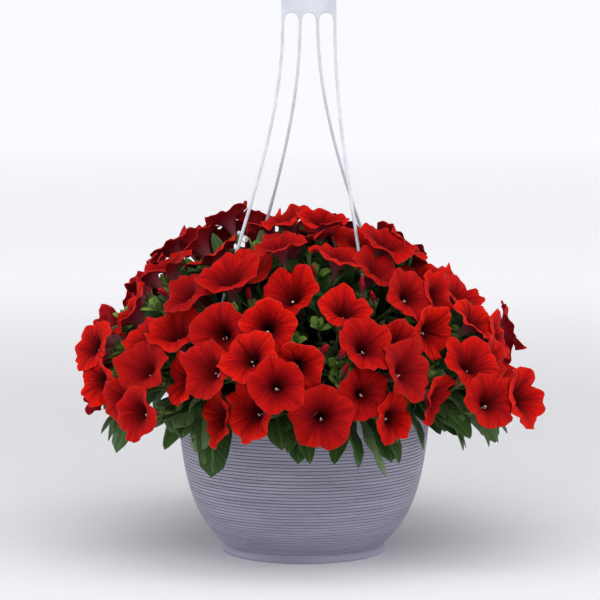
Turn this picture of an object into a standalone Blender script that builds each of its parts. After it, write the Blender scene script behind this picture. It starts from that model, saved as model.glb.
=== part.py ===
"""A petunia hanging basket: a ribbed 12 inch bowl full of potting mix, a bushy red petunia and
a moulded four-strand hanger.  Metres, +Z up, the origin in the middle of the pot's underside."""
import math

import bmesh
import bpy
import numpy as np
from mathutils import Vector

# Pot
POT_HEIGHT = 0.186
FOOT_RADIUS = 0.0975
FOOT_HEIGHT = 0.009
WAIST_RADIUS = 0.0965
BOWL_SWELL = 0.048          # how far the belly runs out from the waist
BOWL_SWELL_HEIGHT = 0.046   # the height in which most of that is done
WALL_LEAN = 0.05            # what the upper wall still gains a metre of height
WALL = 0.0030
FLOOR = 0.0040
RIM_ROLL = 0.0022
RIM_DEPTH = 0.007
INNER_HEIGHTS = (0.0042, 0.0200, 0.0500, 0.1000, 0.1640)
RIB_COUNT = 13              # one for every three of the real ones, which are 4 mm apart
RIB_PITCH = 0.0121
RIB_DEPTH = 0.0013
RIB_START = 0.0115
POT_SIDES = 30
DRAIN_HOLES = 5
DRAIN_RING = 0.062
DRAIN_RADIUS = 0.005
LUG_SIZE = (0.0150, 0.0170, 0.0045)
LUG_TOP = 0.1790
LUG_RING = 0.1395
LUG_MIDDLE = 0.1420
LUG_HOLE = 0.0034

# Potting mix
SOIL_TOP = 0.1650
SOIL_CROWN = 0.004
SOIL_BROW = 0.10            # the radius where the mix stands half as high as in the middle
SEAT_GAP = 0.0004

# Hanger
STRAND_RADIUS = 0.0020
STRAND_TURNS = [math.radians(a) for a in (216, 126, 36, 306)]
COMB_PITCH = 0.0204
COMB_SHIFT = 0.006
COMB_ARCH_TOP = 0.641
COMB_TOP = 0.672
COMB_THICK = 0.0040
HOOK_NECK = 0.0090
HOOK_RADIUS = 0.0150        # of the hook's inner crown
HOOK_BAR = 0.0075
HOOK_CENTRE_Z = 0.7080
COMB_FOOT = 0.004           # how far the teeth run down past the arches
SHOULDER = 0.010            # the comb's upper corners
HOOK_FLARE = 0.006          # of the neck, where it meets the comb
STRAND_BOW = 1.15
BARB_SIZE = (0.0080, 0.0090, 0.0030)
BARB_GAP = 0.0003           # below the lug

# Plant
SEED = 3
MOUND_RADIUS = 0.252
MOUND_RISE = 0.184
MOUND_MIDDLE = (-0.008, 0.0, 0.207)
MOUND_EDGE = math.radians(97)
SPRAYS = 54
GOLDEN_ANGLE = math.radians(137.50776)
BLOOM_TRIES = 240
BLOOM_RADIUS = 0.0345
BLOOM_SIZES = (0.90, 1.12)
BLOOM_TILT = 0.22           # spread of each part of the way a bloom faces
BLOOM_LIFT = (-0.014, 0.012)
BLOOM_SLIDE = 0.016
PAIR_REACH = (0.77, 0.86)   # between the mouths of two blooms that touch, in their radii
PAIR_DROP = 0.17
PAIR_TILT = 0.40
NEAREST_PAIR = 0.70
BLOOM_DEPTH = 1.25          # mouth to foot of tube, in bloom radii
THROAT = 0.22               # the throat's radius, in bloom radii
THROAT_DEPTH = 0.34
CUP_DEPTH = 0.54
NECK_DEPTH = 0.45
NOTCH = 0.86
PETAL_THICK = 0.0009
TUBE_FOOT = 0.0022
SPRAY_CLEAR = 0.0058
STEM_POINTS = 24            # of a bloom's cloud that lie along its tube and stalk
LOWEST_PETAL = 0.155
CORE_RADIUS = 0.176
CORE_RISE = 0.122
CORE_BASE = 0.1905
CORE_SKIRT = 0.012
CORE_MARGIN = 1.07          # how far outside the core, in its own size, a tube's foot stays
CORE_GROOVE = 0.34
ROOT_SINK = 0.010
CORE_SIDES = 20
CORE_RINGS = 5
MAIN_STEMS = 4
MAIN_STEM_RING = 0.060
MAIN_STEM_RADIUS = 0.0045
STEM_HOLE_DEPTH = 0.035
STEM_HOLE_RADIUS = MAIN_STEM_RADIUS + SEAT_GAP + 0.0003
PEDICEL_RADIUS = 0.0016
CALYX_SEAT = 0.0030
SKIRT_LEAVES = 34
MOUND_LEAVES = 26
LEAF_TRIES = 110
LEAF_CLEAR = 0.0062
BLADE_CLEAR = 0.0025
LEAF_THICK = 0.0010
LEAF_POINTS = 13            # along the midrib, of a leaf's cloud
LEAF_FOLD = 0.28            # how far the edges stand above the midrib, in half widths


def unit(v):
    return np.asarray(v, float) / np.linalg.norm(v)


def across(axis, spin=0.0):
    """Two directions square to the axis and to each other, turned about it by spin."""
    helper = (0.0, 1.0, 0.1) if abs(axis[2]) > 0.95 else (0.02, 0.01, 1.0)
    side = unit(np.cross(axis, helper))
    up = np.cross(axis, side)
    return math.cos(spin) * side + math.sin(spin) * up, math.cos(spin) * up - math.sin(spin) * side


# ------------------------------------------------------------------ where everything grows

def strand_points(index, count=18):
    """A strand's middle line from its lug to the comb: straight down from the comb, then bowed out."""
    turn = STRAND_TURNS[index]
    lug = np.array((LUG_RING * math.cos(turn), LUG_RING * math.sin(turn)))
    comb = np.array((COMB_SHIFT + (index - 1.5) * COMB_PITCH, 0.0))
    down = np.linspace(1, 0, count)[:, None]
    spread = (3 * down ** 2 - 2 * down ** 3) ** STRAND_BOW
    height = COMB_ARCH_TOP - down * (COMB_ARCH_TOP - LUG_TOP)
    return np.hstack([comb + (lug - comb) * spread, height])


def mound_place(theta, turn):
    """A point of the mound's surface, and the way out of it there."""
    ring = math.sin(theta)
    place = np.array([MOUND_RADIUS * ring * math.cos(turn), MOUND_RADIUS * ring * math.sin(turn),
                      MOUND_RISE * math.cos(theta)]) + MOUND_MIDDLE
    out = unit([MOUND_RISE * ring * math.cos(turn), MOUND_RISE * ring * math.sin(turn),
                MOUND_RADIUS * math.cos(theta)])
    return place, out


def bloom_cloud(mouth, axis, radius, joint):
    """Points all over a bloom and its stalk, close enough together to tell what touches it."""
    a, b = across(axis)
    rings = []
    for share, count in ((1.0, 30), (0.8, 22), (0.58, 16), (0.36, 9), (0.16, 4)):
        turn = np.arange(count)[:, None] * 2 * math.pi / count
        dip = THROAT_DEPTH * (1 - share) / (1 - THROAT)
        rings.append(mouth + radius * (share * (np.cos(turn) * a + np.sin(turn) * b) - dip * axis))
    foot = mouth - BLOOM_DEPTH * radius * axis
    tube = mouth + (foot - mouth) * np.linspace(0.3, 1, STEM_POINTS // 2)[:, None]
    stalk = foot + (joint - foot) * np.linspace(0.1, 0.9, STEM_POINTS // 2)[:, None]
    return np.vstack(rings + [tube, stalk])


def is_clear(cloud, others, gap):
    low, high = cloud.min(0) - gap, cloud.max(0) + gap
    for other, other_low, other_high in others:
        if (other_low > high).any() or (other_high < low).any():
            continue
        near = other[((other > low) & (other < high)).all(1)]
        if len(near) and (np.linalg.norm(cloud[:, None] - near[None], axis=2).min() < gap):
            return False
    return True


def boxed(cloud):
    return cloud, cloud.min(0), cloud.max(0)


def well_stalked(bloom, joint):
    """Whether the tube's foot is outside the core, and its stalk comes to it from behind."""
    foot = bloom["mouth"] - BLOOM_DEPTH * bloom["radius"] * bloom["axis"]
    rel = (foot - (0.0, 0.0, CORE_BASE + CORE_SKIRT)) / (CORE_RADIUS, CORE_RADIUS, CORE_RISE)
    return np.linalg.norm(rel) > CORE_MARGIN and unit(foot - joint) @ bloom["axis"] > 0.40


def stems_clear(cloud, spray_clouds):
    """Whether a bloom's tube and stalk miss the petals of its own spray, and theirs miss its petals."""
    for other, _, _ in spray_clouds:
        pairs = ((cloud[-STEM_POINTS:], other[:-STEM_POINTS]), (other[-STEM_POINTS:], cloud[:-STEM_POINTS]))
        for stem, petals in pairs:
            if not is_clear(stem, [boxed(petals)], SPRAY_CLEAR):
                return False
    return True


def grow_sprays(rng):
    """Sprays of one to four blooms on a dome, spread by the golden angle.

    The first blooms go in spray by spray.  Later ones open beside a bloom of their own spray, near
    enough for their petals to meet, wherever they stay clear of the other sprays and the strands."""
    theta = np.linspace(0, MOUND_EDGE, 400)
    strip = np.sin(theta) * np.hypot(MOUND_RADIUS * np.cos(theta), MOUND_RISE * np.sin(theta))
    area = np.concatenate([[0], np.cumsum((strip[1:] + strip[:-1]) / 2)])
    site_theta = np.interp((np.arange(SPRAYS) + 0.5) / SPRAYS * area[-1], area, theta)
    strands = [boxed(strand_points(i, 90)) for i in range(4)]
    sprays = []
    for k in range(SPRAYS):
        place, out = mound_place(site_theta[k], k * GOLDEN_ANGLE)
        joint = core_point(site_theta[k], k * GOLDEN_ANGLE, ROOT_SINK)
        sprays.append(dict(place=place, out=out, joint=joint, blooms=[], clouds=[]))
    for rank in range(4):
        for spray in sprays:
            if rank and not spray["blooms"]:
                continue
            others = strands + [c for s in sprays if s is not spray for c in s["clouds"]]
            for _ in range(BLOOM_TRIES):
                bloom = draw_bloom(spray, rng)
                if spray["blooms"] and not joins_one(bloom, spray["blooms"]):
                    continue
                cloud = bloom_cloud(bloom["mouth"], bloom["axis"], bloom["radius"], spray["joint"])
                if cloud[:, 2].min() < LOWEST_PETAL or not stems_clear(cloud, spray["clouds"]):
                    continue
                if not well_stalked(bloom, spray["joint"]):
                    continue
                if is_clear(cloud, others, SPRAY_CLEAR):
                    spray["blooms"].append(bloom)
                    spray["clouds"].append(boxed(cloud))
                    break
    return [s for s in sprays if s["blooms"]], strands


def draw_bloom(spray, rng):
    """A spray's first bloom at its site, or a later one beside an earlier, facing further outwards."""
    radius = BLOOM_RADIUS * rng.uniform(*BLOOM_SIZES)
    spin = rng.uniform(0, 2 * math.pi)
    turn = rng.uniform(0, 2 * math.pi)
    tilt = rng.normal(0, BLOOM_TILT, 3)
    lift = rng.uniform(*BLOOM_LIFT)
    slide = rng.uniform(0, BLOOM_SLIDE)
    beside = rng.integers(0, max(1, len(spray["blooms"])))
    if not spray["blooms"]:
        a, b = across(spray["out"])
        mouth = spray["place"] + lift * spray["out"] + slide * (math.cos(turn) * a + math.sin(turn) * b)
        return dict(mouth=mouth, axis=unit(spray["out"] + tilt), radius=radius, spin=spin)
    first = spray["blooms"][beside]
    a, b = across(first["axis"])
    side = math.cos(turn) * a + math.sin(turn) * b
    reach = rng.uniform(*PAIR_REACH) * (first["radius"] + radius)
    mouth = first["mouth"] + reach * side - (PAIR_DROP * reach - 0.25 * lift) * first["axis"]
    rel = mouth - MOUND_MIDDLE
    level = np.linalg.norm(rel / (MOUND_RADIUS, MOUND_RADIUS, MOUND_RISE))
    mouth = mouth + 0.15 * (1 / level - 1) * rel
    axis = unit(first["axis"] + PAIR_TILT * side + 0.5 * tilt)
    return dict(mouth=mouth, axis=axis, radius=radius, spin=spin)


def joins_one(bloom, spray_blooms):
    """Whether its petals pass well through those of one bloom of its spray, and its tube through none."""
    met = False
    turns = np.arange(40)[:, None] * 2 * math.pi / 40
    a, b = across(bloom["axis"])
    circle = np.cos(turns) * a + np.sin(turns) * b
    rings = []
    for share in (0.60, 0.70, 0.80, 0.90):
        dip = THROAT_DEPTH * (1 - share) / (1 - THROAT)
        rings.append(bloom["mouth"] + bloom["radius"] * (share * circle - dip * bloom["axis"]))
    for first in spray_blooms:
        limb = np.vstack(rings) - first["mouth"]
        height = limb @ first["axis"]
        reach = np.linalg.norm(limb - height[:, None] * first["axis"], axis=1)
        inside = reach < 0.90 * first["radius"]
        above = height + THROAT_DEPTH * (first["radius"] - reach) / (1 - THROAT)
        apart = np.linalg.norm(bloom["mouth"] - first["mouth"])
        if apart < NEAREST_PAIR * (first["radius"] + bloom["radius"]):
            return False
        met = met or (inside & (above > 0.0012)).any() and (inside & (above < -0.0022)).any()
    return met


def leaf_line(leaf, count):
    """The midrib's points, the way along it and the blade's crosswise direction at each."""
    s = np.linspace(0, 1, count)[:, None]
    sag = leaf["droop"] * np.array((0, 0, 1.0))
    line = leaf["root"] + leaf["length"] * (s * leaf["heading"] - sag * s ** 2)
    way = leaf["heading"] - 2 * s * sag
    way = way / np.linalg.norm(way, axis=1)[:, None]
    side = np.cross(way, leaf["face"])
    side = side / np.linalg.norm(side, axis=1)[:, None]
    return line, way, side


def leaf_width(s):
    """Half the blade's width, as a share of its widest, along the midrib: a bare stalk, then ovate."""
    t = np.clip((s - 0.16) / 0.84, 0, 1)
    return np.maximum(np.sin(math.pi * t ** 0.80) ** 0.85, 0.0)


def leaf_cloud(leaf):
    line, way, side = leaf_line(leaf, LEAF_POINTS)
    half = leaf["width"] * leaf_width(np.linspace(0, 1, LEAF_POINTS))[:, None]
    fold = LEAF_FOLD * half * np.cross(side, way)
    shares = (-1, -0.67, -0.33, 0.33, 0.67, 1)
    return np.vstack([line] + [line + share * half * side + abs(share) * fold for share in shares])


def pot_wall_cloud():
    """Points round the upper wall and the rim, for leaves to keep clear of."""
    turn = np.arange(96)[:, None] * 2 * math.pi / 96
    wall = []
    for z in np.arange(0.10, POT_HEIGHT + 0.004, 0.008):
        ring = wall_radius(min(z, POT_HEIGHT)) + 0.003
        wall.append(np.hstack([ring * np.cos(turn), ring * np.sin(turn), np.full_like(turn, z)]))
    return boxed(np.vstack(wall))


def grow_leaves(rng, taken):
    """Leaves that hang round the bottom edge, then leaves that fill what the blooms leave open."""
    leaves = []
    own = []
    wall = pot_wall_cloud()
    for k in range(SKIRT_LEAVES + MOUND_LEAVES):
        for _ in range(LEAF_TRIES):
            leaf = draw_skirt_leaf(k, rng) if k < SKIRT_LEAVES else draw_mound_leaf(rng)
            cloud = leaf_cloud(leaf)
            blade = np.vstack([cloud[j::LEAF_POINTS] for j in range(3, LEAF_POINTS)])
            if is_clear(cloud, taken + [wall], LEAF_CLEAR) and is_clear(blade, own, BLADE_CLEAR):
                leaves.append(leaf)
                own.append(boxed(blade))
                break
    return leaves


def draw_skirt_leaf(k, rng):
    turn = (k + rng.uniform(-0.5, 0.5)) * 2 * math.pi / SKIRT_LEAVES
    swing = turn + rng.normal(0, 0.35)
    out = np.array((math.cos(turn), math.sin(turn), 0.0))
    heading = unit((math.cos(swing), math.sin(swing), rng.uniform(-0.35, 0.35)))
    root = core_point(math.radians(rng.uniform(84, 90)), turn, ROOT_SINK)
    return dict(full=True, root=root, heading=heading, length=rng.uniform(0.062, 0.086),
                width=rng.uniform(0.014, 0.019), droop=rng.uniform(0.35, 0.90),
                face=unit(out * 0.5 + np.array((0, 0, 1.0)) + rng.normal(0, 0.2, 3)))


def draw_mound_leaf(rng):
    theta = math.acos(rng.uniform(math.cos(math.radians(93)), 1))
    turn = rng.uniform(0, 2 * math.pi)
    out = mound_place(theta, turn)[1]
    root = core_point(theta, turn, ROOT_SINK)
    heading = unit(out + rng.normal(0, 0.45, 3))
    return dict(full=False, root=root, heading=heading, length=rng.uniform(0.055, 0.084),
                width=rng.uniform(0.012, 0.018), droop=rng.uniform(0.0, 0.30),
                face=unit(np.cross(heading, rng.normal(0, 1, 3)) + 0.8 * out))


def core_point(theta, turn, sink=0.0):
    """The bush's woody middle, a flat-bottomed dome drawn in where the four strands pass: a point
    of its surface, or one sunk below it towards the dome's centre."""
    theta = min(theta, math.pi / 2)
    ring = CORE_RADIUS * math.sin(theta)
    for strand in STRAND_TURNS:
        away = abs((turn - strand + math.pi) % (2 * math.pi) - math.pi)
        ring *= 1 - CORE_GROOVE * max(0.0, 1 - away * CORE_SIDES / (2 * math.pi))
    rel = np.array((ring * math.cos(turn), ring * math.sin(turn), CORE_RISE * math.cos(theta)))
    rel *= 1 - sink / np.linalg.norm(rel)
    return rel + (0.0, 0.0, CORE_BASE + CORE_SKIRT)


# ------------------------------------------------------------------ mesh helpers

def add_mesh(name, verts, faces, collection):
    mesh = bpy.data.meshes.new(name)
    mesh.from_pydata([tuple(map(float, v)) for v in verts], [], faces)
    mesh.validate()
    mesh.update()
    obj = bpy.data.objects.new(name, mesh)
    collection.objects.link(obj)
    return obj


def add_cutter(name, radius, low, high, place, collection, sides=8, turn=0.0):
    """An upright round cutter or peg between two heights."""
    bm = bmesh.new()
    bmesh.ops.create_cone(bm, cap_ends=True, segments=sides, radius1=radius, radius2=radius,
                          depth=high - low)
    mesh = bpy.data.meshes.new(name)
    bm.to_mesh(mesh)
    bm.free()
    obj = bpy.data.objects.new(name, mesh)
    obj.location = (place[0], place[1], (low + high) / 2)
    obj.rotation_euler = (0, 0, turn)
    collection.objects.link(obj)
    return obj


def add_box(name, size, place, turn, collection):
    bm = bmesh.new()
    bmesh.ops.create_cube(bm, size=1.0)
    bmesh.ops.scale(bm, vec=Vector(size), verts=bm.verts)
    mesh = bpy.data.meshes.new(name)
    bm.to_mesh(mesh)
    bm.free()
    obj = bpy.data.objects.new(name, mesh)
    obj.location = place
    obj.rotation_euler = (0, 0, turn)
    collection.objects.link(obj)
    return obj


def join_all(obj, collection, operation="UNION", solver="EXACT"):
    """One Boolean of the object with a whole collection, applied; the collection's objects go."""
    boolean = obj.modifiers.new("join", "BOOLEAN")
    boolean.operation = operation
    boolean.operand_type = "COLLECTION"
    boolean.collection = collection
    boolean.solver = solver
    bake(obj)
    for piece in list(collection.objects):
        bpy.data.objects.remove(piece)
    bpy.data.collections.remove(collection)


def bake(obj):
    bpy.context.view_layer.update()
    mesh = bpy.data.meshes.new_from_object(obj.evaluated_get(bpy.context.evaluated_depsgraph_get()))
    obj.modifiers.clear()
    obj.data = mesh


def keep_main_body(obj):
    """Fill hollows that the union sealed and drop loose scrap: only the largest shell stays."""
    bm = bmesh.new()
    bm.from_mesh(obj.data)
    bmesh.ops.triangulate(bm, faces=bm.faces)
    bmesh.ops.remove_doubles(bm, verts=bm.verts, dist=0.00001)
    bmesh.ops.dissolve_degenerate(bm, edges=bm.edges, dist=0.00001)
    left = set(bm.verts)
    shells = []
    while left:
        shell = [left.pop()]
        for vert in shell:
            for edge in vert.link_edges:
                other = edge.other_vert(vert)
                if other in left:
                    left.remove(other)
                    shell.append(other)
        shells.append(shell)
    shells.sort(key=len)
    scrap = [v for shell in shells[:-1] for v in shell]
    bmesh.ops.delete(bm, geom=scrap, context="VERTS")
    bm.to_mesh(obj.data)
    bm.free()
    return len(shells)


def collection_for(name):
    collection = bpy.data.collections.new(name)
    bpy.context.scene.collection.children.link(collection)
    return collection


def material(name, colour, roughness, metallic=0.0):
    made = bpy.data.materials.new(name)
    made.use_nodes = True
    shader = made.node_tree.nodes["Principled BSDF"]
    shader.inputs["Base Color"].default_value = (*colour, 1.0)
    shader.inputs["Roughness"].default_value = roughness
    shader.inputs["Metallic"].default_value = metallic
    made.diffuse_color = (*colour, 1.0)
    return made


# ------------------------------------------------------------------ pot and soil

def wall_radius(z):
    """The bowl's outer radius: a quick swell above the foot, then an even lean to the rim."""
    up = max(z - FOOT_HEIGHT, 0.0)
    return WAIST_RADIUS + BOWL_SWELL * (1 - math.exp(-up / BOWL_SWELL_HEIGHT)) + WALL_LEAN * up


def rib_heights():
    """The ribs' edges, equally spaced along the curved wall and not in height."""
    z = np.linspace(RIB_START, POT_HEIGHT, 600)
    r = np.array([wall_radius(v) for v in z])
    along = np.concatenate([[0], np.cumsum(np.hypot(np.diff(z), np.diff(r)))])
    return np.interp(np.arange(2 * RIB_COUNT + 1) * RIB_PITCH / 2, along, z)


def add_pot(parts):
    rolled = wall_radius(POT_HEIGHT) + RIM_ROLL
    outer = [(wall_radius(POT_HEIGHT) - WALL, POT_HEIGHT), (rolled - 0.001, POT_HEIGHT),
             (rolled, POT_HEIGHT - 0.001), (rolled, POT_HEIGHT - RIM_DEPTH),
             (wall_radius(POT_HEIGHT - RIM_DEPTH), POT_HEIGHT - RIM_DEPTH)]
    for k, z in reversed(list(enumerate(rib_heights()))):
        outer.append((wall_radius(z) - (RIB_DEPTH if k % 2 else 0.0), z))
    outer += [(FOOT_RADIUS - 0.001, 0.0040), (FOOT_RADIUS, 0.0015), (FOOT_RADIUS - 0.0015, 0.0), (0.0, 0.0)]
    inner = [(inner_radius(z), z) for z in INNER_HEIGHTS]
    profile = [(0.0, FLOOR)] + inner + outer
    pot = turned("pot", profile[::-1], POT_SIDES, parts)
    lugs = collection_for("lugs")
    pegs = collection_for("pot_cutters")
    for turn in STRAND_TURNS:
        place = (LUG_RING * math.cos(turn), LUG_RING * math.sin(turn))
        middle = (LUG_MIDDLE * math.cos(turn), LUG_MIDDLE * math.sin(turn), LUG_TOP - LUG_SIZE[2] / 2)
        add_box("lug", LUG_SIZE, middle, turn, lugs)
        add_cutter("lug_hole", LUG_HOLE, LUG_TOP - 0.01, LUG_TOP + 0.01, place, pegs, turn=turn)
    for k in range(DRAIN_HOLES):
        turn = (k + 0.25) * 2 * math.pi / DRAIN_HOLES
        add_cutter("drain", DRAIN_RADIUS, -0.01, FLOOR + 0.01,
                   (DRAIN_RING * math.cos(turn), DRAIN_RING * math.sin(turn)), pegs)
    join_all(pot, lugs)
    join_all(pot, pegs, "DIFFERENCE")
    keep_main_body(pot)
    return pot


def inner_radius(z):
    return wall_radius(z) - WALL - RIB_DEPTH * (z < POT_HEIGHT - 0.02)


def turned(name, profile, sides, parts):
    """A profile in X and Z, whose ends are on the axis, turned round with a Screw modifier."""
    obj = add_mesh(name, [(r, 0.0, z) for r, z in profile], [], parts)
    bm = bmesh.new()
    bm.from_mesh(obj.data)
    bm.verts.ensure_lookup_table()
    for a, b in zip(bm.verts[:], bm.verts[1:]):
        bm.edges.new((a, b))
    bm.to_mesh(obj.data)
    bm.free()
    screw = obj.modifiers.new("turn", "SCREW")
    screw.steps = sides
    screw.render_steps = sides
    screw.use_merge_vertices = True
    screw.merge_threshold = 0.0001
    bake(obj)
    bm = bmesh.new()
    bm.from_mesh(obj.data)
    bmesh.ops.remove_doubles(bm, verts=bm.verts, dist=0.0001)
    bmesh.ops.recalc_face_normals(bm, faces=bm.faces)
    bm.to_mesh(obj.data)
    bm.free()
    return obj


def add_soil(parts):
    shrink = SEAT_GAP / math.cos(math.pi / POT_SIDES)
    heights = (FLOOR + SEAT_GAP,) + INNER_HEIGHTS[1:]
    side = [(inner_radius(z) - shrink - 0.0002, z) for z in heights]
    crown = [(SOIL_BROW, SOIL_TOP + 0.5 * SOIL_CROWN), (0.0, SOIL_TOP + SOIL_CROWN)]
    profile = [(0.0, heights[0])] + side + crown
    soil = turned("soil", profile[::-1], POT_SIDES, parts)
    holes = collection_for("stem_holes")
    for place in main_stem_places():
        add_cutter("stem_hole", STEM_HOLE_RADIUS, SOIL_TOP - STEM_HOLE_DEPTH, POT_HEIGHT, place, holes)
    join_all(soil, holes, "DIFFERENCE")
    return soil


def main_stem_places():
    turns = [math.radians(81 + 90 * k) for k in range(MAIN_STEMS)]
    return [(MAIN_STEM_RING * math.cos(t), MAIN_STEM_RING * math.sin(t)) for t in turns]


# ------------------------------------------------------------------ hanger

def tube(name, points, radius, resolution, collection):
    """A round wire with filled ends along the points, made a welded mesh."""
    curve = bpy.data.curves.new(name, "CURVE")
    curve.dimensions = "3D"
    curve.bevel_depth = radius
    curve.bevel_resolution = resolution
    curve.use_fill_caps = True
    spline = curve.splines.new("POLY")
    spline.points.add(len(points) - 1)
    for point, place in zip(spline.points, points):
        point.co = (*map(float, place), 1.0)
    guide = bpy.data.objects.new(name + "_line", curve)
    collection.objects.link(guide)
    bpy.context.view_layer.update()
    mesh = bpy.data.meshes.new_from_object(guide.evaluated_get(bpy.context.evaluated_depsgraph_get()))
    obj = bpy.data.objects.new(name, mesh)
    obj.matrix_world = guide.matrix_world
    collection.objects.link(obj)
    bpy.data.objects.remove(guide)
    bm = bmesh.new()
    bm.from_mesh(mesh)
    bmesh.ops.remove_doubles(bm, verts=bm.verts, dist=0.00001)
    bm.to_mesh(mesh)
    bm.free()
    return obj


def arc(centre, radius, start, end, count):
    turns = np.radians(np.linspace(start, end, count))
    return [(centre[0] + radius * math.cos(t), centre[1] + radius * math.sin(t)) for t in turns]


def hanger_outline():
    """The comb plate with three round arches below and the hook above, as one outline in X and Z."""
    half = 1.5 * COMB_PITCH + STRAND_RADIUS
    arch = COMB_PITCH / 2 - STRAND_RADIUS
    foot = COMB_ARCH_TOP - arch - COMB_FOOT
    left, right = COMB_SHIFT - half, COMB_SHIFT + half
    shoulder = COMB_TOP - SHOULDER
    points = [(left, foot)]
    for k in range(3):
        centre = (COMB_SHIFT + (k - 1) * COMB_PITCH, COMB_ARCH_TOP - arch)
        points += [(centre[0] - arch, foot)] + arc(centre, arch, 180, 0, 7) + [(centre[0] + arch, foot)]
    points += [(right, foot), (right, shoulder)] + arc((right - SHOULDER, shoulder), SHOULDER, 30, 90, 3)
    middle = (COMB_SHIFT, HOOK_CENTRE_Z)
    outer = HOOK_RADIUS + HOOK_BAR
    neck_left, neck_right = COMB_SHIFT - HOOK_NECK / 2, COMB_SHIFT + HOOK_NECK / 2
    points += [(neck_right + HOOK_FLARE, COMB_TOP), (neck_right, COMB_TOP + HOOK_FLARE)]
    points += arc(middle, outer, -76, 195, 15)
    points += arc(middle, HOOK_RADIUS, 191.25, -78.75, 13)
    points += [(neck_left, HOOK_CENTRE_Z - outer), (neck_left, COMB_TOP + HOOK_FLARE)]
    points += [(neck_left - HOOK_FLARE, COMB_TOP)]
    return points + arc((left + SHOULDER, shoulder), SHOULDER, 90, 150, 3) + [(left, shoulder)]


def add_hanger(parts):
    outline = bpy.data.curves.new("hanger_outline", "CURVE")
    outline.dimensions = "2D"
    outline.fill_mode = "BOTH"
    outline.extrude = COMB_THICK / 2
    spline = outline.splines.new("POLY")
    points = hanger_outline()
    spline.points.add(len(points) - 1)
    for point, (x, z) in zip(spline.points, points):
        point.co = (x, z, 0.0, 1.0)
    spline.use_cyclic_u = True
    flat = bpy.data.objects.new("outline", outline)
    flat.rotation_euler = (math.pi / 2, 0, 0)
    parts.objects.link(flat)
    bpy.context.view_layer.update()
    mesh = bpy.data.meshes.new_from_object(flat.evaluated_get(bpy.context.evaluated_depsgraph_get()))
    mesh.transform(flat.matrix_world)
    bpy.data.objects.remove(flat)
    bm = bmesh.new()
    bm.from_mesh(mesh)
    bmesh.ops.remove_doubles(bm, verts=bm.verts, dist=0.00001)
    bmesh.ops.recalc_face_normals(bm, faces=bm.faces)
    bm.to_mesh(mesh)
    bm.free()
    hanger = bpy.data.objects.new("hanger", mesh)
    parts.objects.link(hanger)
    strands = collection_for("strands")
    for k, turn in enumerate(STRAND_TURNS):
        line = strand_points(k)
        foot = line[0] - np.array((0, 0, 0.0075))
        tube("strand", np.vstack([foot, line]), STRAND_RADIUS, 1, strands)
        place = (foot[0], foot[1], LUG_TOP - LUG_SIZE[2] - BARB_GAP - BARB_SIZE[2] / 2)
        add_box("barb", BARB_SIZE, place, turn, strands)
    join_all(hanger, strands)
    keep_main_body(hanger)
    return hanger


# ------------------------------------------------------------------ blooms

def corolla(bloom):
    """A five-lobed funnel: a lobed, waved rim, a cone in to the throat, and a tube to the foot."""
    axis, radius = bloom["axis"], bloom["radius"]
    a, b = across(axis, bloom["spin"])

    def ring(count, reach, height, shift=0.0):
        turns = (np.arange(count) + shift) * 2 * math.pi / count
        reach = np.broadcast_to(reach, count)[:, None]
        height = np.broadcast_to(height, count)[:, None]
        way = np.cos(turns)[:, None] * a + np.sin(turns)[:, None] * b
        return bloom["mouth"] + reach * way + height * axis

    odd = np.arange(10) % 2
    lobes = radius * np.where(odd, NOTCH, 1.0)
    wave = radius * (np.where(odd, 0.0, -0.05) + 0.05 * np.sin(np.arange(10) * 1.3 + 5 * bloom["spin"]))
    throat = ring(5, (THROAT - 0.02) * radius, -NECK_DEPTH * radius - PETAL_THICK)
    rim_top, rim_back = ring(10, lobes, wave), ring(10, lobes, wave - PETAL_THICK)
    cup = ring(1, 0.0, -CUP_DEPTH * radius)
    foot_ring = ring(3, TUBE_FOOT, -BLOOM_DEPTH * radius)
    verts = np.vstack([rim_top, cup, rim_back, throat, foot_ring])
    apex, back, neck, foot = 10, 11, 21, 26
    faces = [[foot + 2, foot + 1, foot]]
    for k in range(10):
        n = (k + 1) % 10
        faces += [[apex, k, n], [k, back + k, back + n], [k, back + n, n]]
    for k in range(5):
        left, tip, right = back + (2 * k - 1) % 10, back + 2 * k, back + 2 * k + 1
        nxt = neck + (k + 1) % 5
        faces += [[tip, left, neck + k], [right, tip, neck + k], [nxt, right, neck + k]]
        low, low_next = foot + (0, 0, 1, 1, 2)[k], foot + (0, 1, 1, 2, 0)[k]
        faces.append([neck + k, low, nxt])
        if low != low_next:
            faces.append([nxt, low, low_next])
    return verts, faces


def add_sprays(sprays, parts, red):
    for k, spray in enumerate(sprays):
        others = collection_for("more_blooms")
        first, *rest = spray["blooms"]
        obj = add_mesh(f"blooms_{k + 1:02d}", *corolla(first), parts)
        for bloom in rest:
            add_mesh("bloom", *corolla(bloom), others)
        if rest:
            join_all(obj, others)
            found = keep_main_body(obj)
            if found > 1:
                print("spray", k + 1, "had", found, "bodies of", len(spray["blooms"]))
        else:
            bpy.data.collections.remove(others)
        obj.data.materials.clear()
        obj.data.materials.append(red)


# ------------------------------------------------------------------ foliage

def pedicel(bloom, joint):
    """A three-sided stalk that widens to the flat seat of a bloom's tube."""
    axis = bloom["axis"]
    foot = bloom["mouth"] - (BLOOM_DEPTH * bloom["radius"] + SEAT_GAP) * axis
    a, b = across(axis)
    turns = np.arange(3)[:, None] * 2 * math.pi / 3
    spread = np.cos(turns) * a + np.sin(turns) * b
    verts = np.vstack([foot + CALYX_SEAT * spread, joint + PEDICEL_RADIUS * spread])
    faces = [[0, 1, 2], [5, 4, 3]]
    for k in range(3):
        n = (k + 1) % 3
        faces += [[k, 3 + k, n], [n, 3 + k, 3 + n]]
    return verts, faces


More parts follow.
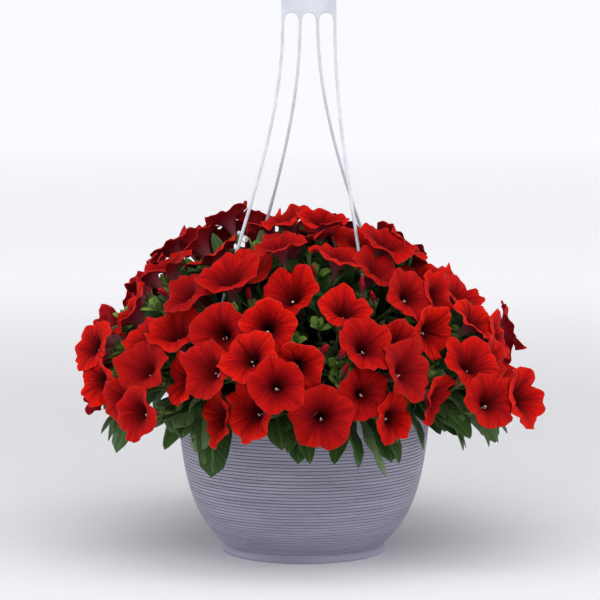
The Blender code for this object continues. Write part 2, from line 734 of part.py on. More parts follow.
def leaf_blade(leaf):
    """A narrow stalk that widens to an ovate blade folded along its midrib, 1 mm thick."""
    stations = np.array((0.0, 0.42, 0.74, 1.0) if leaf["full"] else (0.0, 0.55, 1.0))
    line, way, side = leaf_line(leaf, 101)
    pick = (stations * 100).astype(int)
    line, way, side = line[pick], way[pick], side[pick]
    up = np.cross(side, way)
    half = leaf["width"] * leaf_width(stations)
    fold = LEAF_FOLD * half[:, None] * up
    top = [line[0] + 0.0011 * side[0], line[0] - 0.0011 * side[0]]
    for k in range(1, len(stations) - 1):
        top += [line[k] + half[k] * side[k] + fold[k], line[k], line[k] - half[k] * side[k] + fold[k]]
    top.append(line[-1])
    top = np.array(top)
    ways = [up[0]] * 2 + [u for u in up[1:-1] for _ in range(3)] + [up[-1]]
    under = top - LEAF_THICK * np.array(ways)
    tip = len(top) - 1
    upper = [[0, 3, 2], [0, 1, 3], [1, 4, 3], [tip - 3, tip - 2, tip], [tip - 2, tip - 1, tip]]
    rim = [0, 2, tip, 4, 1]
    if leaf["full"]:
        upper += [[2, 3, 6], [2, 6, 5], [3, 4, 7], [3, 7, 6]]
        rim = [0, 2, 5, tip, 7, 4, 1]
    faces = [f[::-1] for f in upper] + [[v + tip + 1 for v in f] for f in upper]
    for p, q in zip(rim, rim[1:] + rim[:1]):
        faces += [[q, p, q + tip + 1], [q + tip + 1, p, p + tip + 1]]
    return np.vstack([top, under]), faces


def add_core(parts):
    """The bush's middle: rings of a dome, a flat bottom, grooves where the strands pass."""
    verts = [(0.0, 0.0, CORE_BASE), (0.0, 0.0, core_point(0.0, 0.0)[2])]
    rings = []
    turns = np.arange(CORE_SIDES) * 2 * math.pi / CORE_SIDES
    for j in range(CORE_RINGS + 1):
        theta = math.pi / 2 * (CORE_RINGS - j) / CORE_RINGS
        rings.append([core_point(theta, t) for t in turns])
    bottom = [(p[0] * 0.985, p[1] * 0.985, CORE_BASE) for p in rings[0]]
    rings = [bottom] + rings[:-1]
    start = [2 + j * CORE_SIDES for j in range(len(rings))]
    for ring in rings:
        verts += [tuple(p) for p in ring]
    faces = []
    for k in range(CORE_SIDES):
        n = (k + 1) % CORE_SIDES
        faces.append([0, start[0] + n, start[0] + k])
        for low, high in zip(start, start[1:]):
            faces += [[low + k, low + n, high + n], [low + k, high + n, high + k]]
        faces.append([start[-1] + k, start[-1] + n, 1])
    return add_mesh("foliage", verts, faces, parts)


def add_foliage(sprays, leaves, parts, green):
    foliage = add_core(parts)
    shoots = collection_for("shoots")
    for place in main_stem_places():
        add_cutter("main_stem", MAIN_STEM_RADIUS, SOIL_TOP - STEM_HOLE_DEPTH + SEAT_GAP, CORE_BASE + 0.02,
                   place, shoots, sides=8)
    for spray in sprays:
        for bloom in spray["blooms"]:
            add_mesh("stalk", *pedicel(bloom, spray["joint"]), shoots)
    for leaf in leaves:
        add_mesh("leaf", *leaf_blade(leaf), shoots)
    join_all(foliage, shoots, solver="MANIFOLD")
    print("foliage bodies", keep_main_body(foliage))
    foliage.data.materials.clear()
    foliage.data.materials.append(green)


def main():
    for obj in list(bpy.data.objects):
        bpy.data.objects.remove(obj)
    parts = collection_for("petunia_hanging_basket")
    rng = np.random.default_rng(SEED)
    sprays, strands = grow_sprays(rng)
    print("sprays", len(sprays), "blooms", sum(len(s["blooms"]) for s in sprays))
    taken = strands + [c for s in sprays for c in s["clouds"]]
    leaves = grow_leaves(rng, taken)
    print("leaves", len(leaves))
    pot = add_pot(parts)
    soil = add_soil(parts)
    hanger = add_hanger(parts)
    pot.data.materials.append(material("moulded_pot_plastic", (0.26, 0.25, 0.31), 0.55))
    soil.data.materials.append(material("potting_mix", (0.03, 0.02, 0.015), 0.95))
    hanger.data.materials.append(material("white_hanger_plastic", (0.80, 0.80, 0.82), 0.35))
    add_sprays(sprays, parts, material("petunia_petal", (0.62, 0.012, 0.008), 0.6))
    add_foliage(sprays, leaves, parts, material("petunia_leaf", (0.03, 0.09, 0.015), 0.6))
    for obj in parts.objects:
        obj.data.shade_smooth()
        obj.data.set_sharp_from_angle(angle=math.radians(35))


main()
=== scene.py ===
"""A petunia hanging basket in its finishes: velvety red blooms, hairy leaves, a ribbed pot and a
moulded hanger, each worked out as a surface round the solids of the frame.  Metres, +Z up."""

import math

import bmesh
import bpy
import numpy as np
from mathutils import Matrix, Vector


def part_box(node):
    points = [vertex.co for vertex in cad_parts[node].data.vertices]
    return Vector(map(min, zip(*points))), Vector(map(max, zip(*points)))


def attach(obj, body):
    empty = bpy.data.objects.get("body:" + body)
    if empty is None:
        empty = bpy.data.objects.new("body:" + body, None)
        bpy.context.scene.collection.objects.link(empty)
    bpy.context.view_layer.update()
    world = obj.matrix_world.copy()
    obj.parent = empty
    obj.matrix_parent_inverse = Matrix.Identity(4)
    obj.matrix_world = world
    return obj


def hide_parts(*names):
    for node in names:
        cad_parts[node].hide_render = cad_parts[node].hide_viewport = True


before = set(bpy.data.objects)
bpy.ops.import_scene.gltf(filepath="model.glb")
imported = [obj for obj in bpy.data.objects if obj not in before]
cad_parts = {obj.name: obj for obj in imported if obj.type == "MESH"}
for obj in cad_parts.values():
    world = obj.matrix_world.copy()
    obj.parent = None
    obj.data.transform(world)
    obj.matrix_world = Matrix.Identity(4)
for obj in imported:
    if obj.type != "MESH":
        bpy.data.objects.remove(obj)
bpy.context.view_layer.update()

BODY = "root"
UP = np.array((0.0, 0.0, 1.0))

# Pot
POT_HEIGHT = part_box("pot")[1].z
FOOT_RADIUS = 0.0975
FOOT_HEIGHT = 0.009
WAIST_RADIUS = 0.0965
BOWL_SWELL = 0.048
BOWL_SWELL_HEIGHT = 0.046
WALL_LEAN = 0.05
WALL = 0.0030
FLOOR = 0.0040
RIM_ROLL = 0.0022
RIM_DEPTH = 0.007
RIM_EDGE = 0.0012           # the radius of the rim's rounded edge
PLAIN_BAND = 0.020          # how far down from the top the wall has no ribs and is thinner
# The foot, as insets from its widest and heights: below the lowest rib, round its edge, the ring
# that it stands on, and in under the floor
FOOT_PROFILE = ((0.0003, 0.0108), (0.0011, 0.0088), (0.0009, 0.0050), (0.0003, 0.0032), (0, 0.0022),
                (0, 0.0008), (0.0006, 0), (0.0020, 0), (0.0030, 0), (0.0040, 0.0012), (0.0375, 0.0012),
                (0.0935, 0.0012))
# Where the rows of the bowl's inside lie
BOWL_HEIGHTS = (0.0042, 0.008, 0.014, 0.02, 0.03, 0.04, 0.05, 0.07, 0.09, 0.115, 0.14, 0.160, 0.170, 0.180)
RIB_PITCH = 0.00405         # along the curved wall
RIB_COUNT = 39
RIB_GROOVE = 0.0011         # depth of the groove between two ribs
RIB_START = 0.0115
RIB_BACKING = 0.0013        # what the wall is thicker by behind the ribs
LUG_SIZE = (0.0150, 0.0170, 0.0045)
LUG_TOP = 0.1790
LUG_RING = 0.1395
LUG_MIDDLE = 0.1420
LUG_HOLE = 0.0034
DRAIN_HOLES = 5
DRAIN_RING = 0.062
DRAIN_RADIUS = 0.005
SOIL_TOP = 0.1650
SOIL_CROWN = 0.004
CRUMB_HEIGHT = 0.0012
MIX_GAP = 0.0008            # between the mix and the bowl
SEAT_GAP = 0.0004

# Hanger
STRAND_RADIUS = 0.0020
STRAND_TURNS = [math.radians(a) for a in (216, 126, 36, 306)]
COMB_PITCH = 0.0204
COMB_SHIFT = 0.006
COMB_ARCH_TOP = 0.641
COMB_TOP = 0.672
COMB_THICK = 0.0040
COMB_EDGE = 0.0005          # the radius of its soft edges
HOOK_NECK = 0.0090
HOOK_RADIUS = 0.0150
HOOK_BAR = 0.0075
HOOK_CENTRE_Z = 0.7080
COMB_FOOT = 0.004           # how far the teeth run down past the arches
SHOULDER = 0.010            # the comb's upper corners
HOOK_FLARE = 0.006          # of the neck, where it meets the comb
ARCH_BEAD = 0.0013          # the bead's half width
ARCH_BEAD_STAND = 1.9       # its depth through the comb, by its width
ARCH_RADIUS = COMB_PITCH / 2 - STRAND_RADIUS
ARCH_BEAD_RING = ARCH_RADIUS + 0.7 * ARCH_BEAD
STRAND_BOW = 1.15
STRAND_END = 0.0075         # below the lug's top
BARB_PROFILE = ((-0.0001, 0.0036), (0.0001, 0.0042), (0.0027, 0.0044), (0.0029, 0.0030))   # heights, radii
CLIP_HEIGHT = 0.3780        # of the eyelet on the strand at front left
EYELET_RADIUS = 0.0034
EYELET_WIRE = 0.0009
TAB_SIZE = (0.0058, 0.0022, 0.0044)
TAB_RISE = 0.0052           # above the eyelet, along the strand

# Where the plant's solids grow
SEED = 3
MOUND_RADIUS = 0.252
MOUND_RISE = 0.184
MOUND_MIDDLE = (-0.008, 0.0, 0.207)
MOUND_EDGE = math.radians(97)
SPRAYS = 54
GOLDEN_ANGLE = math.radians(137.50776)
BLOOM_TRIES = 240
BLOOM_RADIUS = 0.0345
BLOOM_SIZES = (0.90, 1.12)
BLOOM_TILT = 0.22           # spread of each part of the way a bloom faces
BLOOM_LIFT = (-0.014, 0.012)
BLOOM_SLIDE = 0.016
PAIR_REACH = (0.77, 0.86)   # between the mouths of two blooms that touch, in their radii
PAIR_DROP = 0.17
PAIR_TILT = 0.40
NEAREST_PAIR = 0.70
BLOOM_DEPTH = 1.25          # mouth to foot of tube, in bloom radii
THROAT = 0.22               # the throat's radius, in bloom radii
THROAT_DEPTH = 0.34
NOTCH = 0.86
SPRAY_CLEAR = 0.0058
STEM_POINTS = 24            # of a bloom's cloud that lie along its tube and stalk
LOWEST_PETAL = 0.155
CORE_RADIUS = 0.176
CORE_RISE = 0.122
CORE_BASE = 0.1905
CORE_SKIRT = 0.012
CORE_MARGIN = 1.07          # how far outside the core, in its own size, a tube's foot stays
CORE_GROOVE = 0.34
ROOT_SINK = 0.010
CORE_SIDES = 20
MAIN_STEMS = 4
MAIN_STEM_RING = 0.060
MAIN_STEM_RADIUS = 0.0045
STEM_HOLE_DEPTH = 0.035
SKIRT_LEAVES = 34
MOUND_LEAVES = 26
LEAF_TRIES = 110
LEAF_CLEAR = 0.0062
BLADE_CLEAR = 0.0025
LEAF_POINTS = 13            # along the midrib, of a leaf's cloud
LEAF_FOLD = 0.28            # how far the edges stand above the midrib, in half widths

# Finer growth
PETAL_THICK = 0.0007
TUBE_RADIUS = 0.07          # of the foot, in bloom radii
FLARE = 2.2                 # how late the tube opens into the limb
FALL = 1.75                 # how steeply the limb falls into the throat
# Where the rows of a bloom lie along the profile: out over its back, then in to the throat's floor
OUTSIDE = np.array([0, .12, .24, .35, .45, .54, .63, .72, .81, .89, .95, 1.0])
INSIDE = np.array([1.0, .96, .91, .85, .78, .70, .62, .54, .46, .38, .29, .20, .12])
BLOOM_COLUMNS = 60
LOBES = 5
# A lobe's shape, in bloom radii
LOBE_BENDS = (-0.10, 0.30)  # how far it bends back at the rim, from the least to the most
LOBE_TWIST = 0.16
LOBE_SIZES = (-0.06, 0.05)
LOBE_ARCH = 0.055           # how far its middle stands up
LOBE_POINTS = (0.01, 0.06)  # in the middle of its rim
NOTCH_POWERS = (1.5, 3.0)   # how late its rim turns in to the notch
LIMB_CUP = 0.10
SEAM_DEPTH = 0.055
MIDRIB_DEPTH = 0.018
RIPPLES = (0.020, 0.014)    # of the outline, 7 and 13 round it
PLEATS = (0.042, 0.026)     # 8 and 13 round the rim
SWAY = (0.045, 0.030)       # 2 and 3 round the limb
TUCK_GAP = 0.06             # between petals that lie one behind another, in bloom radii
TUCK_APART = 0.045          # between the two faces of a petal that is tucked behind another
MID_LIMB = 0.0252           # a bloom's radius where its veins are counted
VEIN_SPACING = 0.0028
NET_SPACING = 0.00084       # of the dark net between the veins
ANTHER_RADIUS = 0.00085
LEAF_THICK = 0.0006
LEAF_BLUNT = 0.68           # the power that blunts an ordinary blade
MIDRIB_HALF = 0.0011        # half the width of a blade's stalk
FILLER_LEAVES = 900
HANGING_LEAVES = 110
FILLER_TRIES = 20
FILLER_CLEAR = 0.0030       # between a filler's blade and a bloom
HANGING_CLEAR = 0.0020      # between two hanging blades
FINE_SINK = 0.004           # how deep the finer growth is rooted in the woody middle
TIP_TRIES = 150
STALK_CLEAR = 0.0030        # between a tip's stalk and a bloom
STALK_ROWS = 9
MAIN_STEM_TURN = 81         # degrees
SHOOTS = 76
BUDS = 20
BUD_LENGTH = 0.032

# Studio
FLOOR_REACH = 9.0
COVE = 3.0
WALL_TOP = 5.0
GLOW_START = 0.4            # how far from the pot the floor starts to glow, painted light in place of studio lamps
GLOW_FULL = 3.4
GLOW = 0.53
GLOW_BEHIND = (-1.0, 1.6, 0.30)     # between these two values of y it rises from this share to all of it


def unit(v):
    """A vector of length 1 that points the same way."""
    return np.asarray(v, float) / np.linalg.norm(v)


def across(axis, spin=0.0):
    """Two directions square to the axis and to each other, turned about it by spin."""
    helper = (0.0, 1.0, 0.1) if abs(axis[2]) > 0.95 else (0.02, 0.01, 1.0)
    side = unit(np.cross(axis, helper))
    up = np.cross(axis, side)
    return math.cos(spin) * side + math.sin(spin) * up, math.cos(spin) * up - math.sin(spin) * side


def smooth_step(x, low, high):
    """0 up to low, 1 from high on, and t x t x (3 - 2 t) between them."""
    t = np.clip((x - low) / (high - low), 0, 1)
    return t * t * (3 - 2 * t)


# ------------------------------------------------------------------ where everything grows
# The same rule, in the same order of draws, as the one that placed the solids.

def strand_points(index, count=18):
    """A strand's middle line from its lug to the comb: straight down from the comb, then bowed out.

    Its share of the way out is the smooth step of its share of the way down, to the power STRAND_BOW."""
    turn = STRAND_TURNS[index]
    lug = np.array((LUG_RING * math.cos(turn), LUG_RING * math.sin(turn)))
    comb = np.array((COMB_SHIFT + (index - 1.5) * COMB_PITCH, 0.0))
    down = np.linspace(1, 0, count)[:, None]
    spread = (3 * down ** 2 - 2 * down ** 3) ** STRAND_BOW
    height = COMB_ARCH_TOP - down * (COMB_ARCH_TOP - LUG_TOP)
    return np.hstack([comb + (lug - comb) * spread, height])


def mound_place(theta, turn):
    """A point of the mound, an ellipsoid in polar form, and the way out of it there."""
    ring = math.sin(theta)
    place = np.array([MOUND_RADIUS * ring * math.cos(turn), MOUND_RADIUS * ring * math.sin(turn),
                      MOUND_RISE * math.cos(theta)]) + MOUND_MIDDLE
    out = unit([MOUND_RISE * ring * math.cos(turn), MOUND_RISE * ring * math.sin(turn),
                MOUND_RADIUS * math.cos(theta)])
    return place, out


def bloom_cloud(mouth, axis, radius, joint):
    """Points all over a bloom and its stalk, close enough together to tell what touches it."""
    a, b = across(axis)
    rings = []
    for share, count in ((1.0, 30), (0.8, 22), (0.58, 16), (0.36, 9), (0.16, 4)):
        turn = np.arange(count)[:, None] * 2 * math.pi / count
        dip = THROAT_DEPTH * (1 - share) / (1 - THROAT)
        rings.append(mouth + radius * (share * (np.cos(turn) * a + np.sin(turn) * b) - dip * axis))
    foot = mouth - BLOOM_DEPTH * radius * axis
    tube = mouth + (foot - mouth) * np.linspace(0.3, 1, STEM_POINTS // 2)[:, None]
    stalk = foot + (joint - foot) * np.linspace(0.1, 0.9, STEM_POINTS // 2)[:, None]
    return np.vstack(rings + [tube, stalk])


def is_clear(cloud, others, gap):
    """Whether a cloud of points keeps the gap from every other one; only what is near its box is measured."""
    low, high = cloud.min(0) - gap, cloud.max(0) + gap
    for other, other_low, other_high in others:
        if (other_low > high).any() or (other_high < low).any():
            continue
        near = other[((other > low) & (other < high)).all(1)]
        if len(near) and (np.linalg.norm(cloud[:, None] - near[None], axis=2).min() < gap):
            return False
    return True


def boxed(cloud):
    """A cloud of points with its box's two corners."""
    return cloud, cloud.min(0), cloud.max(0)


def tube_foot(bloom):
    """Where a bloom's tube ends, straight behind its mouth."""
    return bloom["mouth"] - BLOOM_DEPTH * bloom["radius"] * bloom["axis"]


def well_stalked(bloom, joint):
    """Whether the tube's foot is outside the core, and its stalk comes to it from behind."""
    foot = tube_foot(bloom)
    rel = (foot - (0.0, 0.0, CORE_BASE + CORE_SKIRT)) / (CORE_RADIUS, CORE_RADIUS, CORE_RISE)
    return np.linalg.norm(rel) > CORE_MARGIN and unit(foot - joint) @ bloom["axis"] > 0.40


def stems_clear(cloud, spray_clouds):
    """Whether a bloom's tube and stalk miss the petals of its own spray, and theirs miss its petals."""
    for other, _, _ in spray_clouds:
        pairs = ((cloud[-STEM_POINTS:], other[:-STEM_POINTS]), (other[-STEM_POINTS:], cloud[:-STEM_POINTS]))
        for stem, petals in pairs:
            if not is_clear(stem, [boxed(petals)], SPRAY_CLEAR):
                return False
    return True


def grow_sprays(rng):
    """Sprays of one to four blooms on a dome, spread by the golden angle.

    The first blooms go in spray by spray.  Later ones open beside a bloom of their own spray, near
    enough for their petals to meet, wherever they stay clear of the other sprays and the strands."""
    theta = np.linspace(0, MOUND_EDGE, 400)
    strip = np.sin(theta) * np.hypot(MOUND_RADIUS * np.cos(theta), MOUND_RISE * np.sin(theta))
    area = np.concatenate([[0], np.cumsum((strip[1:] + strip[:-1]) / 2)])
    site_theta = np.interp((np.arange(SPRAYS) + 0.5) / SPRAYS * area[-1], area, theta)
    strands = [boxed(strand_points(i, 90)) for i in range(4)]
    sprays = []
    for k in range(SPRAYS):
        place, out = mound_place(site_theta[k], k * GOLDEN_ANGLE)
        joint = core_point(site_theta[k], k * GOLDEN_ANGLE, ROOT_SINK)
        sprays.append(dict(place=place, out=out, joint=joint, blooms=[], clouds=[]))
    for rank in range(4):
        for spray in sprays:
            if rank and not spray["blooms"]:
                continue
            others = strands + [c for s in sprays if s is not spray for c in s["clouds"]]
            for _ in range(BLOOM_TRIES):
                bloom = draw_bloom(spray, rng)
                if spray["blooms"] and not joins_one(bloom, spray["blooms"]):
                    continue
                cloud = bloom_cloud(bloom["mouth"], bloom["axis"], bloom["radius"], spray["joint"])
                if cloud[:, 2].min() < LOWEST_PETAL or not stems_clear(cloud, spray["clouds"]):
                    continue
                if not well_stalked(bloom, spray["joint"]):
                    continue
                if is_clear(cloud, others, SPRAY_CLEAR):
                    spray["blooms"].append(bloom)
                    spray["clouds"].append(boxed(cloud))
                    break
    return [s for s in sprays if s["blooms"]], strands


def draw_bloom(spray, rng):
    """A spray's first bloom at its site, or a later one beside an earlier, facing further outwards."""
    radius = BLOOM_RADIUS * rng.uniform(*BLOOM_SIZES)
    spin = rng.uniform(0, 2 * math.pi)
    turn = rng.uniform(0, 2 * math.pi)
    tilt = rng.normal(0, BLOOM_TILT, 3)
    lift = rng.uniform(*BLOOM_LIFT)
    slide = rng.uniform(0, BLOOM_SLIDE)
    beside = rng.integers(0, max(1, len(spray["blooms"])))
    if not spray["blooms"]:
        a, b = across(spray["out"])
        mouth = spray["place"] + lift * spray["out"] + slide * (math.cos(turn) * a + math.sin(turn) * b)
        return dict(mouth=mouth, axis=unit(spray["out"] + tilt), radius=radius, spin=spin)
    first = spray["blooms"][beside]
    a, b = across(first["axis"])
    side = math.cos(turn) * a + math.sin(turn) * b
    reach = rng.uniform(*PAIR_REACH) * (first["radius"] + radius)
    mouth = first["mouth"] + reach * side - (PAIR_DROP * reach - 0.25 * lift) * first["axis"]
    rel = mouth - MOUND_MIDDLE
    level = np.linalg.norm(rel / (MOUND_RADIUS, MOUND_RADIUS, MOUND_RISE))
    mouth = mouth + 0.15 * (1 / level - 1) * rel
    axis = unit(first["axis"] + PAIR_TILT * side + 0.5 * tilt)
    return dict(mouth=mouth, axis=axis, radius=radius, spin=spin)


def joins_one(bloom, spray_blooms):
    """Whether its petals pass well through those of one bloom of its spray, and its tube through none."""
    met = False
    turns = np.arange(40)[:, None] * 2 * math.pi / 40
    a, b = across(bloom["axis"])
    circle = np.cos(turns) * a + np.sin(turns) * b
    rings = []
    for share in (0.60, 0.70, 0.80, 0.90):
        dip = THROAT_DEPTH * (1 - share) / (1 - THROAT)
        rings.append(bloom["mouth"] + bloom["radius"] * (share * circle - dip * bloom["axis"]))
    for first in spray_blooms:
        limb = np.vstack(rings) - first["mouth"]
        height = limb @ first["axis"]
        reach = np.linalg.norm(limb - height[:, None] * first["axis"], axis=1)
        inside = reach < 0.90 * first["radius"]
        above = height + THROAT_DEPTH * (first["radius"] - reach) / (1 - THROAT)
        apart = np.linalg.norm(bloom["mouth"] - first["mouth"])
        if apart < NEAREST_PAIR * (first["radius"] + bloom["radius"]):
            return False
        met = met or (inside & (above > 0.0012)).any() and (inside & (above < -0.0022)).any()
    return met


def leaf_line(leaf, count):
    """The midrib's points, the way along it and the blade's crosswise direction at each.

    The midrib is the root + length x (s x heading - s squared x droop x up)."""
    s = np.linspace(0, 1, count)[:, None]
    sag = leaf["droop"] * np.array((0, 0, 1.0))
    line = leaf["root"] + leaf["length"] * (s * leaf["heading"] - sag * s ** 2)
    way = leaf["heading"] - 2 * s * sag
    way = way / np.linalg.norm(way, axis=1)[:, None]
    side = np.cross(way, leaf["face"])
    side = side / np.linalg.norm(side, axis=1)[:, None]
    return line, way, side


def leaf_width(s):
    """Half the blade's width, as a share of its widest, along the midrib: a bare stalk, then ovate."""
    t = np.clip((s - 0.16) / 0.84, 0, 1)
    return np.maximum(np.sin(math.pi * t ** 0.80) ** 0.85, 0.0)


def leaf_cloud(leaf):
    """Points along a leaf's midrib and along six lines beside it, out to its edges."""
    line, way, side = leaf_line(leaf, LEAF_POINTS)
    half = leaf["width"] * leaf_width(np.linspace(0, 1, LEAF_POINTS))[:, None]
    fold = LEAF_FOLD * half * np.cross(side, way)
    shares = (-1, -0.67, -0.33, 0.33, 0.67, 1)
    return np.vstack([line] + [line + share * half * side + abs(share) * fold for share in shares])


def pot_wall_cloud():
    """Points round the upper wall and the rim, for leaves to keep clear of."""
    turn = np.arange(96)[:, None] * 2 * math.pi / 96
    wall = []
    for z in np.arange(0.10, POT_HEIGHT + 0.004, 0.008):
        ring = wall_radius(min(z, POT_HEIGHT)) + 0.003
        wall.append(np.hstack([ring * np.cos(turn), ring * np.sin(turn), np.full_like(turn, z)]))
    return boxed(np.vstack(wall))


def grow_leaves(rng, taken):
    """Leaves that hang round the bottom edge, then leaves that fill what the blooms leave open."""
    leaves = []
    own = []
    wall = pot_wall_cloud()
    for k in range(SKIRT_LEAVES + MOUND_LEAVES):
        for _ in range(LEAF_TRIES):
            leaf = draw_skirt_leaf(k, rng) if k < SKIRT_LEAVES else draw_mound_leaf(rng)
            cloud = leaf_cloud(leaf)
            blade = np.vstack([cloud[j::LEAF_POINTS] for j in range(3, LEAF_POINTS)])
            if is_clear(cloud, taken + [wall], LEAF_CLEAR) and is_clear(blade, own, BLADE_CLEAR):
                leaves.append(leaf)
                own.append(boxed(blade))
                break
    return leaves


def draw_skirt_leaf(k, rng):
    """A leaf of the lower fringe, in its own share of the turn: it reaches outwards and droops."""
    turn = (k + rng.uniform(-0.5, 0.5)) * 2 * math.pi / SKIRT_LEAVES
    swing = turn + rng.normal(0, 0.35)
    out = np.array((math.cos(turn), math.sin(turn), 0.0))
    heading = unit((math.cos(swing), math.sin(swing), rng.uniform(-0.35, 0.35)))
    root = core_point(math.radians(rng.uniform(84, 90)), turn, ROOT_SINK)
    return dict(root=root, heading=heading, length=rng.uniform(0.062, 0.086),
                width=rng.uniform(0.014, 0.019), droop=rng.uniform(0.35, 0.90),
                face=unit(out * 0.5 + np.array((0, 0, 1.0)) + rng.normal(0, 0.2, 3)))


def draw_mound_leaf(rng):
    """A leaf anywhere on the mound, which stands out between the blooms."""
    theta = math.acos(rng.uniform(math.cos(math.radians(93)), 1))
    turn = rng.uniform(0, 2 * math.pi)
    out = mound_place(theta, turn)[1]
    root = core_point(theta, turn, ROOT_SINK)
    heading = unit(out + rng.normal(0, 0.45, 3))
    return dict(root=root, heading=heading, length=rng.uniform(0.055, 0.084),
                width=rng.uniform(0.012, 0.018), droop=rng.uniform(0.0, 0.30),
                face=unit(np.cross(heading, rng.normal(0, 1, 3)) + 0.8 * out))


def core_point(theta, turn, sink=0.0):
    """The bush's woody middle, a flat-bottomed dome drawn in where the four strands pass: a point
    of its surface, or one sunk below it towards the dome's centre."""
    theta = min(theta, math.pi / 2)
    ring = CORE_RADIUS * math.sin(theta)
    for strand in STRAND_TURNS:
        away = abs((turn - strand + math.pi) % (2 * math.pi) - math.pi)
        ring *= 1 - CORE_GROOVE * max(0.0, 1 - away * CORE_SIDES / (2 * math.pi))
    rel = np.array((ring * math.cos(turn), ring * math.sin(turn), CORE_RISE * math.cos(theta)))
    rel *= 1 - sink / np.linalg.norm(rel)
    return rel + (0.0, 0.0, CORE_BASE + CORE_SKIRT)


def wall_radius(z):
    """The bowl's outer radius: a quick swell above the foot, then an even lean to the rim."""
    up = np.maximum(z - FOOT_HEIGHT, 0.0)
    return WAIST_RADIUS + BOWL_SWELL * (1 - np.exp(-up / BOWL_SWELL_HEIGHT)) + WALL_LEAN * up


# ------------------------------------------------------------------ more growth between the solids

def grow_fillers(rng, taken):
    """Smaller leaves that close over the woody middle, and broad ones that hang round its lower edge."""
    leaves, own = [], []
    wall = pot_wall_cloud()
    for k in range(HANGING_LEAVES + FILLER_LEAVES):
        for _ in range(FILLER_TRIES):
            leaf = draw_hanging_leaf(rng) if k < HANGING_LEAVES else draw_filler_leaf(rng)
            cloud = leaf_cloud(leaf)
            if not is_clear(cloud, taken + [wall], FILLER_CLEAR):
                continue
            if k < HANGING_LEAVES:
                blade = np.vstack([cloud[j::LEAF_POINTS] for j in range(4, LEAF_POINTS)])
                if not is_clear(blade, own, HANGING_CLEAR):
                    continue
                own.append(boxed(blade))
            leaves.append(leaf)
            break
    return leaves


def draw_hanging_leaf(rng):
    """A broad blunt leaf from the woody middle's lower edge, held at any slant."""
    turn = rng.uniform(0, 2 * math.pi)
    out = np.array((math.cos(turn), math.sin(turn), 0.0))
    swing = turn + rng.normal(0, 0.4)
    heading = unit((math.cos(swing), math.sin(swing), rng.uniform(-0.5, 0.3)))
    return dict(root=core_point(math.radians(rng.uniform(80, 90)), turn, FINE_SINK), heading=heading,
                length=rng.uniform(0.054, 0.076), width=rng.uniform(0.017, 0.023),
                blunt=rng.uniform(0.32, 0.70), droop=rng.uniform(0.25, 0.85),
                face=unit(0.7 * out + 0.8 * UP + rng.normal(0, 0.9, 3)))


def draw_filler_leaf(rng):
    """A small leaf anywhere on the mound, a little more often near its top."""
    theta = math.acos(1 - (1 - math.cos(math.radians(92))) * rng.uniform() ** 1.5)
    turn = rng.uniform(0, 2 * math.pi)
    out = mound_place(theta, turn)[1]
    heading = unit(out + rng.normal(0, 0.5, 3))
    return dict(root=core_point(theta, turn, FINE_SINK), heading=heading,
                length=rng.uniform(0.036, 0.082), width=rng.uniform(0.009, 0.017),
                droop=rng.uniform(0.0, 0.40), face=unit(out + 0.6 * rng.normal(0, 1, 3)))


def grow_tips(rng, taken, count, gap, depth, length):
    """Free spots near the mound's surface, for shoot tips and buds: each a root, a place and a way out.

    The place lies within the two depths below the surface, and what grows there, of the given
    length, keeps the gap from blooms, strands and the other spots."""
    spots = []
    own = []
    for _ in range(count):
        for _ in range(TIP_TRIES):
            theta = math.acos(rng.uniform(math.cos(math.radians(94)), 1))
            turn = rng.uniform(0, 2 * math.pi)
            place, out = mound_place(theta, turn)
            way = unit(out + rng.normal(0, 0.30, 3))
            place = place - rng.uniform(*depth) * out
            root = core_point(theta, turn, FINE_SINK)
            cloud = place + np.linspace(-0.006, length, 8)[:, None] * way
            stalk = bent_path(root, place, way, way, 12)[4:]
            if is_clear(cloud, taken + own, gap) and is_clear(stalk, taken, STALK_CLEAR):
                spots.append(dict(root=root, place=place, way=way,
                                  spin=rng.uniform(0, 2 * math.pi), size=rng.uniform(0.8, 1.15)))
                own.append(boxed(cloud))
                break
    return spots


# ------------------------------------------------------------------ meshes

def steps_round(count):
    """Equal steps round a full turn."""
    return np.arange(count) * 2 * math.pi / count


def turned(r, z, turn):
    """A profile turned about the upright: the points r x cos turn, r x sin turn, z."""
    return np.stack(np.broadcast_arrays(r * np.cos(turn), r * np.sin(turn), z), -1)


def around(a, b, turn):
    """The directions cos turn x a + sin turn x b."""
    return np.cos(turn)[..., None] * a + np.sin(turn)[..., None] * b


def carried(path, radii, columns, flat=1.0, hint=UP):
    """Rings square to a path, of one radius or of one each, as a rows x columns x 3 grid.

    Each point is the path's point plus radius x (cos turn x side + flat x sin turn x up)."""
    way = np.gradient(path, axis=0)
    way /= np.linalg.norm(way, axis=1)[:, None]
    side = np.cross(way, hint)
    side /= np.maximum(np.linalg.norm(side, axis=1), 1e-9)[:, None]
    up = flat * np.cross(side, way)
    ring = around(side[:, None], up[:, None], steps_round(columns))
    return path[:, None] + np.broadcast_to(radii, len(path))[:, None, None] * ring


def bent_path(start, end, leave, arrive, count):
    """A cubic path from start, leaving along one direction, to end, arriving along another."""
    t = np.linspace(0, 1, count)[:, None]
    span = np.linalg.norm(end - start)
    a, b = start + 0.35 * span * leave, end - 0.40 * span * arrive
    return (1 - t) ** 3 * start + 3 * t * (1 - t) ** 2 * a + 3 * t ** 2 * (1 - t) * b + t ** 3 * end


